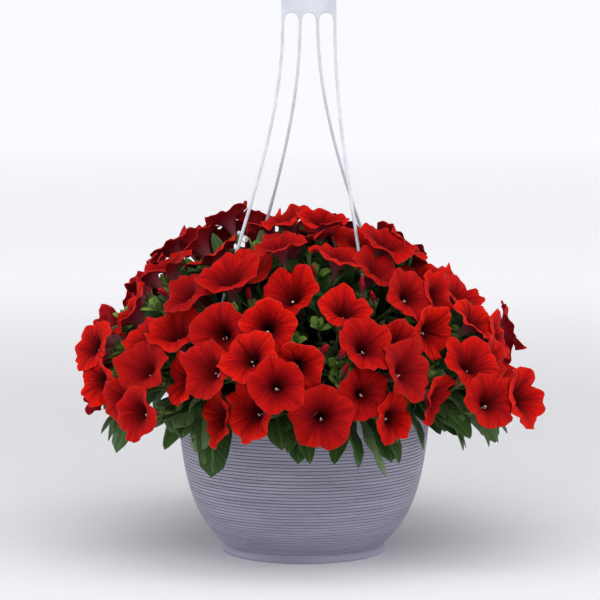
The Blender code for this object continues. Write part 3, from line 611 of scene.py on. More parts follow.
def sleeve_mesh(name, grids, caps=2):
    """One mesh of closed sleeves.

    A grid is rows x columns points, or copies of that.  Its columns close round into quads between
    one row and the next.  The first row is capped and, with two caps, the last one too."""
    faces, first = [], 0
    for grid in grids:
        rows, columns = grid.shape[-3:-1]
        row = np.arange(rows - 1)[:, None] * columns
        column = np.arange(columns)
        following = (column + 1) % columns
        quads = [row + column, row + following, row + columns + following, row + columns + column]
        ends = np.stack([column[::-1], (rows - 1) * columns + column])[:caps]
        starts = np.arange(first, first + grid.size // 3, rows * columns)[:, None, None]
        faces += (starts + np.stack(quads, 2).reshape(1, -1, 4)).reshape(-1, 4).tolist()
        faces += (starts + ends).reshape(-1, columns).tolist()
        first += grid.size // 3
    mesh = bpy.data.meshes.new(name)
    mesh.from_pydata(np.concatenate([grid.reshape(-1, 3) for grid in grids]).tolist(), [], faces)
    return mesh


def add_object(name, data):
    """A new object in the scene, at the origin."""
    made = bpy.data.objects.new(name, data)
    bpy.context.scene.collection.objects.link(made)
    return made


def settled_mesh(thing):
    """A new mesh of an object as its modifiers or its curve's settings leave it."""
    bpy.context.view_layer.update()
    return bpy.data.meshes.new_from_object(thing.evaluated_get(bpy.context.evaluated_depsgraph_get()))


def make_piece(name, grids, finish, slot, replaced=(), **marks):
    """A piece of closed sleeves, dressed in its finish.

    A mark is a vector at each point, kept as an attribute: for each grid, one that spreads over it."""
    mesh = sleeve_mesh(name, grids)
    for mark, parts in marks.items():
        values = np.concatenate([np.broadcast_to(p, g.shape).reshape(-1, 3) for p, g in zip(parts, grids)])
        kept = mesh.attributes.new(mark, "FLOAT_VECTOR", "POINT")
        kept.data.foreach_set("vector", values.astype(np.float32).ravel())
    mesh.update()
    mesh.shade_smooth()
    return dress(add_object(name, mesh), finish, replaced)


def dress(piece, finish, replaced=()):
    """Give a piece its finish and its body, and hide the solids that it replaces."""
    piece.data.materials.clear()
    piece.data.materials.append(finish)
    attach(piece, BODY)
    if replaced:
        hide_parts(*replaced)
    return piece


# ------------------------------------------------------------------ blooms

def trumpet(p):
    """The corolla's profile in bloom radii: a slim tube that opens late into an almost flat limb."""
    return TUBE_RADIUS + (1 - TUBE_RADIUS) * p ** FLARE, -BLOOM_DEPTH * (1 - p) ** FALL


def bloom_grid(bloom, rng):
    """A corolla as one closed sleeve: up the outside of the tube and limb, over the rim, and down
    the inside to the throat.  All is worked out in bloom radii, from p, which runs from 0 at the
    foot to 1 at the rim, and from the turn, in which x runs from -1 to 1 across each lobe.

    The trumpet's radius is multiplied by an outline that grows in with p: a size for each lobe,
    notches at the seams, a point in the middle and ripples.  To its height are added the lobes' bend
    and twist, a sunken seam and a midrib groove, as bell curves of x, and sines of the turn that
    grow with powers of p: pleats near the rim and a slow sway of the whole limb."""
    p = np.concatenate([OUTSIDE, INSIDE])[:, None]
    back = (np.arange(len(p)) < len(OUTSIDE))[:, None]
    turn = steps_round(BLOOM_COLUMNS)[None]
    lobe = turn * LOBES / (2 * math.pi)
    x = 2 * (lobe - np.round(lobe))
    which = np.round(lobe).astype(int) % LOBES
    phase = rng.uniform(0, 2 * math.pi, 6)
    middle = 1 - x ** 2
    bend = rng.uniform(*LOBE_BENDS, LOBES)[which] * middle
    twist = rng.uniform(-LOBE_TWIST, LOBE_TWIST, LOBES)[which] * x * middle
    size = 1 + rng.uniform(*LOBE_SIZES, LOBES)[which] * middle
    cup = rng.uniform(-LIMB_CUP, LIMB_CUP)

    outline = size * (1 - (1 - NOTCH) * np.abs(x) ** rng.uniform(*NOTCH_POWERS))
    outline = outline + rng.uniform(*LOBE_POINTS) * np.exp(-(x / 0.16) ** 2)
    outline = outline + RIPPLES[0] * np.sin(7 * turn + phase[0]) + RIPPLES[1] * np.sin(13 * turn + phase[5])
    reach, height = trumpet(p)
    slope_r = FLARE * np.maximum(p, 0.02) ** (FLARE - 1)
    slope_h = BLOOM_DEPTH * FALL * np.maximum(1 - p, 0.02) ** (FALL - 1)
    length = np.hypot(slope_r, slope_h)
    thick = np.where(back, PETAL_THICK / bloom["radius"], 0.0)
    reach = (reach + thick * slope_h / length) * (1 + (outline - 1) * p ** 5)

    height = height - thick * slope_r / length
    height = height + cup * p ** 3 + p ** 3 * (LOBE_ARCH * (1 - 1.8 * x ** 2) - (bend + twist) * p ** 2)
    height = height - SEAM_DEPTH * p ** 2 * np.exp(-((1 - np.abs(x)) / 0.16) ** 2)
    height = height - MIDRIB_DEPTH * 4 * p * (1 - p) * np.exp(-(x / 0.14) ** 2)
    pleats = PLEATS[0] * np.sin(8 * turn + phase[1]) + PLEATS[1] * np.sin(13 * turn + phase[2])
    height = height + p ** 5 * pleats * (1.3 - 0.3 * np.cos(2 * turn + phase[0]))
    height = height + p ** 3 * (SWAY[0] * np.sin(2 * turn + phase[3]) + SWAY[1] * np.sin(3 * turn + phase[4]))

    flat = reach[..., None] * around(*across(bloom["axis"], bloom["spin"]), turn)
    grid = bloom["mouth"] + bloom["radius"] * (flat + height[..., None] * bloom["axis"])
    return grid, turned(p, back, turn), height[:len(OUTSIDE)]


def tuck_behind(grid, back, bloom, front, back_height):
    """Bend a bloom's petals back where they would cut through those of the bloom in front of them.

    Each point is looked up on the front bloom's back, by its distance from that bloom's axis and
    its turn round it, and what stands above that is lowered along the axis; the petal's own back,
    where back is 1, is lowered a little further.  The tube and what is beyond the front bloom's
    rim stay as they are."""
    rel = (grid - front["mouth"]) / front["radius"]
    height = rel @ front["axis"]
    a, b = across(front["axis"], front["spin"])
    turn = np.arctan2(rel @ b, rel @ a)
    reach = np.hypot(rel @ a, rel @ b)
    p = np.clip((reach - TUBE_RADIUS) / (1 - TUBE_RADIUS), 0, 1) ** (1 / FLARE)
    row = np.round(np.interp(p, OUTSIDE, np.arange(len(OUTSIDE)))).astype(int)
    column = np.round(turn / (2 * math.pi) * BLOOM_COLUMNS).astype(int) % BLOOM_COLUMNS
    above = height - back_height[row, column] + TUCK_GAP + TUCK_APART * back
    own = grid - bloom["mouth"]
    own = own - (own @ bloom["axis"])[..., None] * bloom["axis"]
    on_limb = smooth_step(np.linalg.norm(own, axis=2) / bloom["radius"], 0.28, 0.58)
    push = np.clip(above, 0, 0.55) * (1 - smooth_step(reach, 1.05, 1.4)) * on_limb
    return grid - (push * front["radius"])[..., None] * front["axis"]


def make_blooms(sprays, rng, finish):
    """One piece for each spray, in which each petal lies behind those of the blooms that follow."""
    for k, spray in enumerate(sprays):
        blooms = spray["blooms"]
        shapes = [bloom_grid(bloom, rng) for bloom in blooms]
        grids, places, tones = [], [], []
        for j, (grid, place, _) in enumerate(shapes):
            for front, (_, _, back_height) in zip(blooms[j + 1:], shapes[j + 1:]):
                apart = np.linalg.norm(front["mouth"] - blooms[j]["mouth"])
                if apart < front["radius"] + blooms[j]["radius"]:
                    grid = tuck_behind(grid, place[..., 2], blooms[j], front, back_height)
            grids.append(grid)
            places.append(place)
            tones.append(rng.uniform(0, 1, 3))
        make_piece(f"petunia_blooms_{k + 1:02d}", grids, finish, "petal", [f"blooms_{k + 1:02d}"],
                   petal_place=places, bloom_tone=tones)


def make_anthers(sprays, rng, finish):
    """Five pollen-laden anthers on the lower side of each throat: small eggs, sin t round the bloom's
    axis and 1.6 x cos t along it."""
    t = np.linspace(0.04, 0.96, 6)[:, None] * math.pi
    egg = turned(np.sin(t), -1.6 * np.cos(t), steps_round(6))
    grids = []
    for spray in sprays:
        for bloom in spray["blooms"]:
            axis = bloom["axis"]
            a, b = across(axis)
            down = -UP - (-UP @ axis) * axis
            turns = rng.uniform(0, 2 * math.pi, 5)
            spread = rng.uniform(0.01, 0.05, 5)[:, None] * around(a, b, turns)
            depth = rng.uniform(-0.66, -0.44, 5)[:, None] * axis
            centre = bloom["mouth"] + bloom["radius"] * (depth + spread + 0.075 * down)
            size = ANTHER_RADIUS * rng.uniform(0.8, 1.1)
            grids.append(centre[:, None, None] + size * (egg @ np.stack([a, b, axis])))
    return make_piece("petunia_anthers", grids, finish, "leaf", ["foliage"])


# ------------------------------------------------------------------ leaves, stalks and stems

def blades(leaves, rows, columns, wave):
    """Leaves as closed sleeves: over the blade and back under it, 0.6 mm thick.

    A share runs from -1 to 1 across the blade.  Each point is the midrib's + half width x (share x
    side + lift x up): the half width is leaf_width to a power that blunts it, and the lift a fold,
    which rises with the share, and a wave along the edges.  Rows lie closer together at the tip."""
    share = np.linspace(-1, 1, columns)
    share = np.concatenate([share, share[::-1]])
    under = np.repeat((0.0, 1.0), columns)
    pick = np.round(100 * (1 - (1 - np.linspace(0, 1, rows)) ** 1.35)).astype(int)
    s = (pick / 100)[:, None]
    grids = []
    for leaf in leaves:
        line, way, side = (values[pick] for values in leaf_line(leaf, 101))
        up = np.cross(side, way)
        half = leaf["width"] * leaf_width(s) ** leaf.get("blunt", LEAF_BLUNT)
        half = np.maximum(half, MIDRIB_HALF * (1 - 0.7 * s))
        lift = LEAF_FOLD * np.abs(share)
        lift = lift + wave * share ** 2 * np.sin(5 * math.pi * s + 3 * np.sign(share) + 4000 * leaf["length"])
        lift = lift * half - LEAF_THICK * under
        flat = (half * share)[..., None] * side[:, None]
        grids.append(line[:, None] + flat + lift[..., None] * up[:, None])
    return np.stack(grids), np.stack(np.broadcast_arrays(s, share, under), 2)


def make_leaves(name, leaves, rng, finish, rows, columns, wave=0.0):
    """Blades in one piece, each with a tone of its own."""
    grids, place = blades(leaves, rows, columns, wave)
    return make_piece(name, [grids], finish, "leaf", ["foliage"], leaf_place=[place],
                      leaf_tone=[rng.uniform(0, 1, (len(leaves), 1, 1, 3))])


def make_stalks(sprays, spots, finish):
    """A curved stalk from the bush to the foot of each tube, and to each shoot tip and bud, and the
    main stems, which stand upright in the mix."""
    grids = []
    share = np.linspace(0, 1, STALK_ROWS)
    swelling = 0.0012 + 0.0010 * smooth_step(share, 0.75, 1.0)
    for spray in sprays:
        for bloom in spray["blooms"]:
            foot = tube_foot(bloom)
            path = bent_path(spray["joint"], foot, unit(foot - spray["joint"]), bloom["axis"], STALK_ROWS)
            grids.append(carried(path, swelling, 7, hint=across(bloom["axis"])[0]))
    for spot in spots:
        path = bent_path(spot["root"], spot["place"], spot["way"], spot["way"], STALK_ROWS)
        grids.append(carried(path, 0.0016 - 0.0006 * share, 7, hint=across(spot["way"])[0]))
    z = np.linspace(SOIL_TOP - STEM_HOLE_DEPTH + SEAT_GAP, CORE_BASE + 0.02, 8)
    for turn in np.radians(MAIN_STEM_TURN + 90 * np.arange(MAIN_STEMS)):
        path = turned(MAIN_STEM_RING, z, turn)
        grids.append(carried(path, MAIN_STEM_RADIUS * (1 - 0.04 * np.sin(z * 700)), 12, hint=(1, 0, 0)))
    return make_piece("petunia_stalks", grids, finish, "leaf", ["foliage"])


def make_sepals(sprays, spots, rng, finish):
    """Five narrow sepals round the foot of each tube and bud, close to it and then spreading."""
    sepals = []
    for spray in sprays:
        for bloom in spray["blooms"]:
            sepals += sepal_ring(tube_foot(bloom), bloom["axis"], bloom["radius"] * 0.46, rng)
    for spot in spots:
        sepals += sepal_ring(spot["place"], spot["way"], 0.015, rng)
    return make_leaves("petunia_sepals", sepals, rng, finish, 7, 3)


def sepal_ring(foot, axis, length, rng):
    """Five sepals, as leaves, in equal steps round an axis from a random start."""
    ring = []
    a, b = across(axis, rng.uniform(0, 2 * math.pi))
    for turn in steps_round(LOBES):
        out = math.cos(turn) * a + math.sin(turn) * b
        heading = unit(axis + rng.uniform(0.30, 0.62) * out)
        ring.append(dict(root=foot + 0.001 * out - 0.001 * axis, heading=heading,
                         length=length * rng.uniform(0.85, 1.15), width=0.0017,
                         droop=rng.uniform(-0.05, 0.12), face=out))
    return ring


def make_shoot_tips(spots, rng, finish):
    """Six young leaves round each shoot's tip, in turns of 2.4 radians, the outer ones longer, broader
    and more spread."""
    young = []
    for spot in spots:
        way = spot["way"]
        a, b = across(way, spot["spin"])
        for j in range(6):
            out = math.cos(j * 2.4) * a + math.sin(j * 2.4) * b
            heading = unit(way + (0.25 + 0.16 * j) * out)
            young.append(dict(root=spot["place"] - 0.0006 * j * way, heading=heading,
                              length=spot["size"] * (0.013 + 0.0024 * j), width=0.0028 + 0.0006 * j,
                              droop=0.05 * j, face=unit(way - 0.4 * out)))
    return make_leaves("petunia_shoot_tips", young, rng, finish, 8, 4, 0.1)


def make_buds(spots, rng, finish):
    """Closed buds: a slim tube that swells towards a furled, pleated tip, twisted about its axis.

    Each point is t x length along the axis, a lean that grows with t squared, and, round the axis,
    width x (1 + pleats x cos 5 (turn + 1.6 t))."""
    t = np.linspace(0, 1, 16)[:, None]
    turn = steps_round(20)[None]
    width = 0.0016 + 0.0020 * smooth_step(t, 0.15, 0.70)
    width = width * np.sqrt(np.clip(1 - ((t - 0.62) / 0.39).clip(0, 1) ** 1.6, 0.01, 1))
    pleat = 1 + 0.16 * smooth_step(t, 0.3, 0.7) * np.cos(5 * (turn + 1.6 * t))
    along = t[..., None]
    grids = []
    for spot in spots:
        a, b = across(spot["way"], spot["spin"])
        lean = 0.10 * along ** 2 * (math.cos(spot["spin"]) * a + math.sin(spot["spin"]) * b)
        flat = (width * pleat * spot["size"])[..., None] * around(a, b, turn)
        grids.append(spot["place"] + BUD_LENGTH * spot["size"] * (along * spot["way"] + lean) + flat)
    back_of_petal = along * (1, 0, 0) + (0, 0, 1)
    return make_piece("petunia_buds", [np.stack(grids)], finish, "petal", ["foliage"],
                      petal_place=[back_of_petal], bloom_tone=[rng.uniform(0, 1, (len(spots), 1, 1, 3))])


def make_bush_middle(finish):
    """The shaded middle of the bush: the solid dome in polar form, drawn in at the strands, made a
    little smaller, with lumps from two products of sines, and closed below."""
    theta = np.linspace(math.pi / 2, 0.03, 30)[:, None]
    turn = steps_round(96)[None]
    away = np.min([np.abs((turn - s + math.pi) % (2 * math.pi) - math.pi) for s in STRAND_TURNS], 0)
    ring = CORE_RADIUS * (1 - CORE_GROOVE * np.maximum(0, 1 - away * CORE_SIDES / (2 * math.pi)))
    lump = 0.93 + 0.022 * np.sin(9 * turn + 5 * theta) * np.sin(8 * theta)
    lump = lump + 0.018 * np.sin(23 * turn - 11 * theta)
    height = CORE_BASE + CORE_SKIRT + lump * CORE_RISE * np.cos(theta)
    dome = turned(lump * ring * np.sin(theta), height, turn)
    bottom = dome[:1] * (0.98, 0.98, 0) + (0, 0, CORE_BASE)
    return make_piece("petunia_bush_middle", [np.concatenate([bottom, dome])], finish, "leaf", ["foliage"])


# ------------------------------------------------------------------ pot, mix and hanger

def inner_radius(z):
    """The bowl's inner radius: its wall is thicker behind the ribs than in the plain band."""
    return wall_radius(z) - WALL - RIB_BACKING * (z < POT_HEIGHT - PLAIN_BAND)


def rib_profile():
    """The outer wall from the foot's edge to the rim: flat bands with a narrow groove between them.

    Bands are equally spaced along the curved wall, so height comes from the arc length, and a
    groove's points are set back square to the wall."""
    z = np.linspace(RIB_START, POT_HEIGHT, 2000)
    along = np.concatenate([[0], np.cumsum(np.hypot(np.diff(z), np.diff(wall_radius(z))))])
    steps = np.array([0.0, 0.06, 0.12, 0.20, 0.26])
    sunk = np.tile([0.0, 0.0, 1.0, 1.0, 0.0], RIB_COUNT)
    height = np.interp((np.arange(RIB_COUNT)[:, None] + steps).ravel() * RIB_PITCH, along, z)
    lean = np.gradient(wall_radius(height), height)
    depth = sunk * RIB_GROOVE / np.hypot(lean, 1)
    return wall_radius(height) - depth, height + depth * lean, sunk


def make_pot(finish):
    """The bowl: a profile from the middle of the floor's top, up the inside, over the rolled rim,
    down the ribbed outside to the foot and in under it, turned round; then lugs and drain holes."""
    inside_z = np.array(BOWL_HEIGHTS)
    rib_r, rib_z, rib_sunk = rib_profile()
    inset, foot_z = np.array(FOOT_PROFILE).T
    rim = wall_radius(POT_HEIGHT) + RIM_ROLL
    bend = np.linspace(0, math.pi / 2, 5)
    rim_r = rim + np.concatenate([[-WALL - RIM_ROLL, 0.0004 - WALL - RIM_ROLL], RIM_EDGE * (np.sin(bend) - 1),
                                  [0, -0.0006, -RIM_ROLL]])
    rim_z = POT_HEIGHT + np.concatenate([[-0.0006, 0], RIM_EDGE * (np.cos(bend) - 1),
                                         [0.001 - RIM_DEPTH, -RIM_DEPTH, -RIM_DEPTH]])
    r = np.concatenate([[0.004, 0.050], inner_radius(inside_z), rim_r, rib_r[::-1], FOOT_RADIUS - inset])
    z = np.concatenate([[FLOOR, FLOOR], inside_z, rim_z, rib_z[::-1], foot_z])
    plain = np.zeros(2 + len(inside_z) + len(rim_r))
    sunk = np.concatenate([plain, rib_sunk[::-1], np.zeros(len(foot_z))])
    grid = turned(r[:, None], z[:, None], steps_round(180))
    pot = make_piece("ribbed_pot", [grid], finish, "pot_plastic", ["pot"],
                     rib_groove=[sunk[:, None, None] * (1, 0, 0)])
    lugs, pegs = [], []
    for turn in STRAND_TURNS:
        lugs.append(block(turned(LUG_MIDDLE, LUG_TOP - LUG_SIZE[2] / 2, turn), LUG_SIZE, turn))
        pegs.append(peg(turned(LUG_RING, LUG_TOP, turn), LUG_HOLE))
    for turn in steps_round(DRAIN_HOLES) + math.pi / 2 / DRAIN_HOLES:
        pegs.append(peg(turned(DRAIN_RING, 0.0, turn), DRAIN_RADIUS))
    shaped(pot, lugs, "UNION")
    shaped(pot, pegs, "DIFFERENCE")
    pot.data.set_sharp_from_angle(angle=math.radians(50))
    return pot


def block(middle, size, turn):
    """A box turned about the upright, as one closed sleeve of four columns."""
    x, y, z = np.array(size) / 2
    across_x, across_y = turned(1, 0, turn), turned(1, 0, turn + math.pi / 2)
    flat = np.array([(-x, -y), (x, -y), (x, y), (-x, y)]) @ [across_x, across_y]
    return middle + np.stack([flat - z * UP, flat + z * UP])


def peg(middle, radius):
    """An upright round cutter, 20 mm long."""
    return middle + turned(radius, np.array([[-0.010], [0.010]]), steps_round(28))


def shaped(piece, grids, operation):
    """Join closed sleeves to a piece, or cut them from it, and apply that."""
    tool = add_object("tool", sleeve_mesh("tool", grids))
    change = piece.modifiers.new("shape", "BOOLEAN")
    change.operation = operation
    change.object = tool
    change.solver = "MANIFOLD"
    made = settled_mesh(piece)
    piece.modifiers.clear()
    piece.data = made
    bpy.data.objects.remove(tool)


def make_mix(finish):
    """Potting mix: its side follows the inside of the pot, and its top is crowned and crumbly.

    The top's height is the crown x (1 - share of the radius squared) plus a product of two sines,
    each of x and y, whose crumbs are about 10 mm wide and die away at the wall."""
    share = np.linspace(0.01, 1, 46)[:, None]
    turn = steps_round(120)[None]
    edge = inner_radius(SOIL_TOP) - MIX_GAP
    x, y = edge * share * np.cos(turn), edge * share * np.sin(turn)
    crumb = np.sin(310 * x + 2.1 * np.sin(190 * y)) * np.sin(290 * y + 1.7 * np.sin(230 * x))
    z = SOIL_TOP + SOIL_CROWN * (1 - share ** 2) + CRUMB_HEIGHT * (crumb * (1 - share ** 8) - 1)
    heights = np.array([0.150, 0.120, 0.09, 0.06, 0.03, 0.0046])[:, None]
    side = turned(inner_radius(heights) - MIX_GAP, heights, turn)
    grid = np.concatenate([np.stack([x, y, z], 2), side])[::-1]
    return make_piece("potting_mix_fill", [grid], finish, "potting_mix", ["soil"])


def arc(centre, radius, start, end, count):
    """Points of a circle, from one angle to another in degrees."""
    turns = np.radians(np.linspace(start, end, count))
    return [(centre[0] + radius * math.cos(t), centre[1] + radius * math.sin(t)) for t in turns]


def hanger_outline():
    """The comb plate with three round arches below and the hook above, as one outline in X and Z."""
    half = 1.5 * COMB_PITCH + STRAND_RADIUS
    left, right = COMB_SHIFT - half, COMB_SHIFT + half
    foot = COMB_ARCH_TOP - ARCH_RADIUS - COMB_FOOT
    points = [(left, foot)]
    for k in range(3):
        x, z = COMB_SHIFT + (k - 1) * COMB_PITCH, COMB_ARCH_TOP - ARCH_RADIUS
        points += [(x - ARCH_RADIUS, foot)] + arc((x, z), ARCH_RADIUS, 180, 0, 25) + [(x + ARCH_RADIUS, foot)]
    shoulder = COMB_TOP - SHOULDER
    points += [(right, foot), (right, shoulder)] + arc((right - SHOULDER, shoulder), SHOULDER, 10, 90, 9)
    # up the neck's right side, round the outside of the hook and back along its inside
    neck_left, neck_right = COMB_SHIFT - HOOK_NECK / 2, COMB_SHIFT + HOOK_NECK / 2
    flare_top = COMB_TOP + HOOK_FLARE
    middle = (COMB_SHIFT, HOOK_CENTRE_Z)
    outer = HOOK_RADIUS + HOOK_BAR
    points += arc((neck_right + HOOK_FLARE, flare_top), HOOK_FLARE, 270, 180, 7)
    points += arc(middle, outer, -76, 195, 49)
    points += arc(middle, HOOK_RADIUS, 191.25, -78.75, 41)
    points += [(neck_left, HOOK_CENTRE_Z - outer)]
    points += arc((neck_left - HOOK_FLARE, flare_top), HOOK_FLARE, 0, -90, 7)
    return points + arc((left + SHOULDER, shoulder), SHOULDER, 90, 170, 9) + [(left, shoulder)]


def make_comb_and_hook(finish):
    """The flat moulding that the strands leave: its outline filled, given thickness and soft edges."""
    outline = bpy.data.curves.new("comb_outline", "CURVE")
    outline.dimensions = "2D"
    outline.fill_mode = "BOTH"
    outline.bevel_depth = COMB_EDGE
    outline.bevel_resolution = 2
    outline.offset = -COMB_EDGE
    outline.extrude = COMB_THICK / 2 - outline.bevel_depth
    spline = outline.splines.new("POLY")
    points = hanger_outline()
    spline.points.add(len(points) - 1)
    for point, (x, z) in zip(spline.points, points):
        point.co = (x, z, 0.0, 1.0)
    spline.use_cyclic_u = True
    flat = add_object("comb_outline", outline)
    flat.rotation_euler = (math.pi / 2, 0, 0)
    mesh = settled_mesh(flat)
    mesh.transform(flat.matrix_world)
    bpy.data.objects.remove(flat)
    tidy = bmesh.new()
    tidy.from_mesh(mesh)
    bmesh.ops.remove_doubles(tidy, verts=tidy.verts, dist=0.00001)
    bmesh.ops.recalc_face_normals(tidy, faces=tidy.faces)
    tidy.to_mesh(mesh)
    tidy.free()
    mesh.shade_smooth()
    mesh.set_sharp_from_angle(angle=math.radians(40))
    return dress(add_object("hanger_comb_and_hook", mesh), finish, ["hanger"])


def make_strands(finish):
    """Four round moulded strands, each ending below its lug in a flat barb, and the raised beads that
    join them round the arches of the comb: rings carried along the strands' lines and half circles."""
    grids = []
    barb_height, barb_radii = np.array(BARB_PROFILE).T
    for k in range(len(STRAND_TURNS)):
        line = strand_points(k, 70)
        foot = line[0] - STRAND_END * UP
        path = np.vstack([foot, line[0] - 0.004 * UP, line])
        grids.append(carried(path, STRAND_RADIUS, 16, hint=(0.3, 1, 0)))
        grids.append(carried(foot + barb_height[:, None] * UP, barb_radii, 16, hint=(0.3, 1, 0)))
    turn = np.linspace(math.pi, 0, 22)
    for k in range(3):
        x = COMB_SHIFT + (k - 1) * COMB_PITCH + ARCH_BEAD_RING * np.cos(turn)
        z = COMB_ARCH_TOP - ARCH_RADIUS + ARCH_BEAD_RING * np.sin(turn)
        arch = np.stack([x, np.zeros(22), z], 1)
        grids.append(carried(arch, ARCH_BEAD, 8, flat=ARCH_BEAD_STAND, hint=(0, 1, 0)))
    return make_piece("hanger_strands", grids, finish, "hanger_plastic", ["hanger"])


def make_clip(finish):
    """The moulded tab and eyelet on one strand: a short bar across it, and a ring beside it that is
    carried round a circle."""
    line = strand_points(0, 400)
    place = line[np.argmin(np.abs(line[:, 2] - CLIP_HEIGHT))]
    along = unit(line[200] - line[190])
    right = unit(np.cross((0, 1, 0), along))
    centre = place + (STRAND_RADIUS + EYELET_RADIUS - EYELET_WIRE) * right
    loop = centre + EYELET_RADIUS * around(right, along, steps_round(24))
    ring = carried(loop, EYELET_WIRE, 10, hint=(0, 1, 0))
    ring = np.concatenate([ring, ring[:1]])
    bar = place + TAB_RISE * along + TAB_SIZE[0] * np.linspace(-1, 0.15, 6)[:, None] * right
    swell = np.array([0.6, 1.0, 1.0, 1.0, 1.0, 0.7]) * TAB_SIZE[2] / 2
    tab = carried(bar, swell, 12, flat=TAB_SIZE[1] / TAB_SIZE[2], hint=(0, 1, 0))
    return make_piece("hanger_clip", [ring, tab], finish, "hanger_plastic", ["hanger"])


# ------------------------------------------------------------------ finishes

ALL = slice(None)           # every output of a node


def linear(hex_colour):
    """An sRGB colour such as "#C01010" as linear red, green, blue and 1."""
    channels = [int(hex_colour[i:i + 2], 16) / 255 for i in (1, 3, 5)]
    return tuple(c / 12.92 if c <= 0.04045 else ((c + 0.055) / 1.055) ** 2.4 for c in channels) + (1.0,)


def node(tree, kind, inputs=(), output=0, stops=(), **settings):
    """Add a node and return one of its outputs.

    Its inputs get values in order, or by name: numbers, sRGB colours or other nodes' outputs.
    The settings are the node's own, and stops are the places and colours of its band."""
    made = tree.nodes.new("ShaderNode" + kind)
    for name, value in settings.items():
        setattr(made, name, value)
    for name, value in inputs.items() if isinstance(inputs, dict) else enumerate(inputs):
        if isinstance(value, bpy.types.NodeSocket):
            tree.links.new(value, made.inputs[name])
        else:
            made.inputs[name].default_value = linear(value) if isinstance(value, str) else value
    while stops and len(made.color_ramp.elements) < len(stops):
        made.color_ramp.elements.new(0.5)
    for k, (place, colour) in enumerate(stops):
        made.color_ramp.elements[k].position = place
        made.color_ramp.elements[k].color = linear(colour)
    return made.outputs[output]


def cells(millimetres):
    """The scale of a texture whose cells are that wide."""
    return 1000 / millimetres


def finish_of(name, roughness, specular=0.5, sheen=0.0, sheen_tint="#FFFFFF"):
    """A Principled material with its constant settings on the shader's own sockets."""
    made = bpy.data.materials.new(name)
    made.use_nodes = True
    sockets = made.node_tree.nodes["Principled BSDF"].inputs
    sockets["Roughness"].default_value = roughness
    sockets["Specular IOR Level"].default_value = specular
    sockets["Sheen Weight"].default_value = sheen
    sockets["Sheen Roughness"].default_value = 0.4
    sockets["Sheen Tint"].default_value = linear(sheen_tint)
    return made, made.node_tree


def finished(made, colour, relief, depth, strength=1.0):
    """Give a material its colour and its relief, which is depth metres deep."""
    tree = made.node_tree
    sockets = tree.nodes["Principled BSDF"].inputs
    tree.links.new(colour, sockets["Base Color"])
    bump = node(tree, "Bump", {"Height": relief, "Distance": depth, "Strength": strength})
    tree.links.new(bump, sockets["Normal"])
    return made


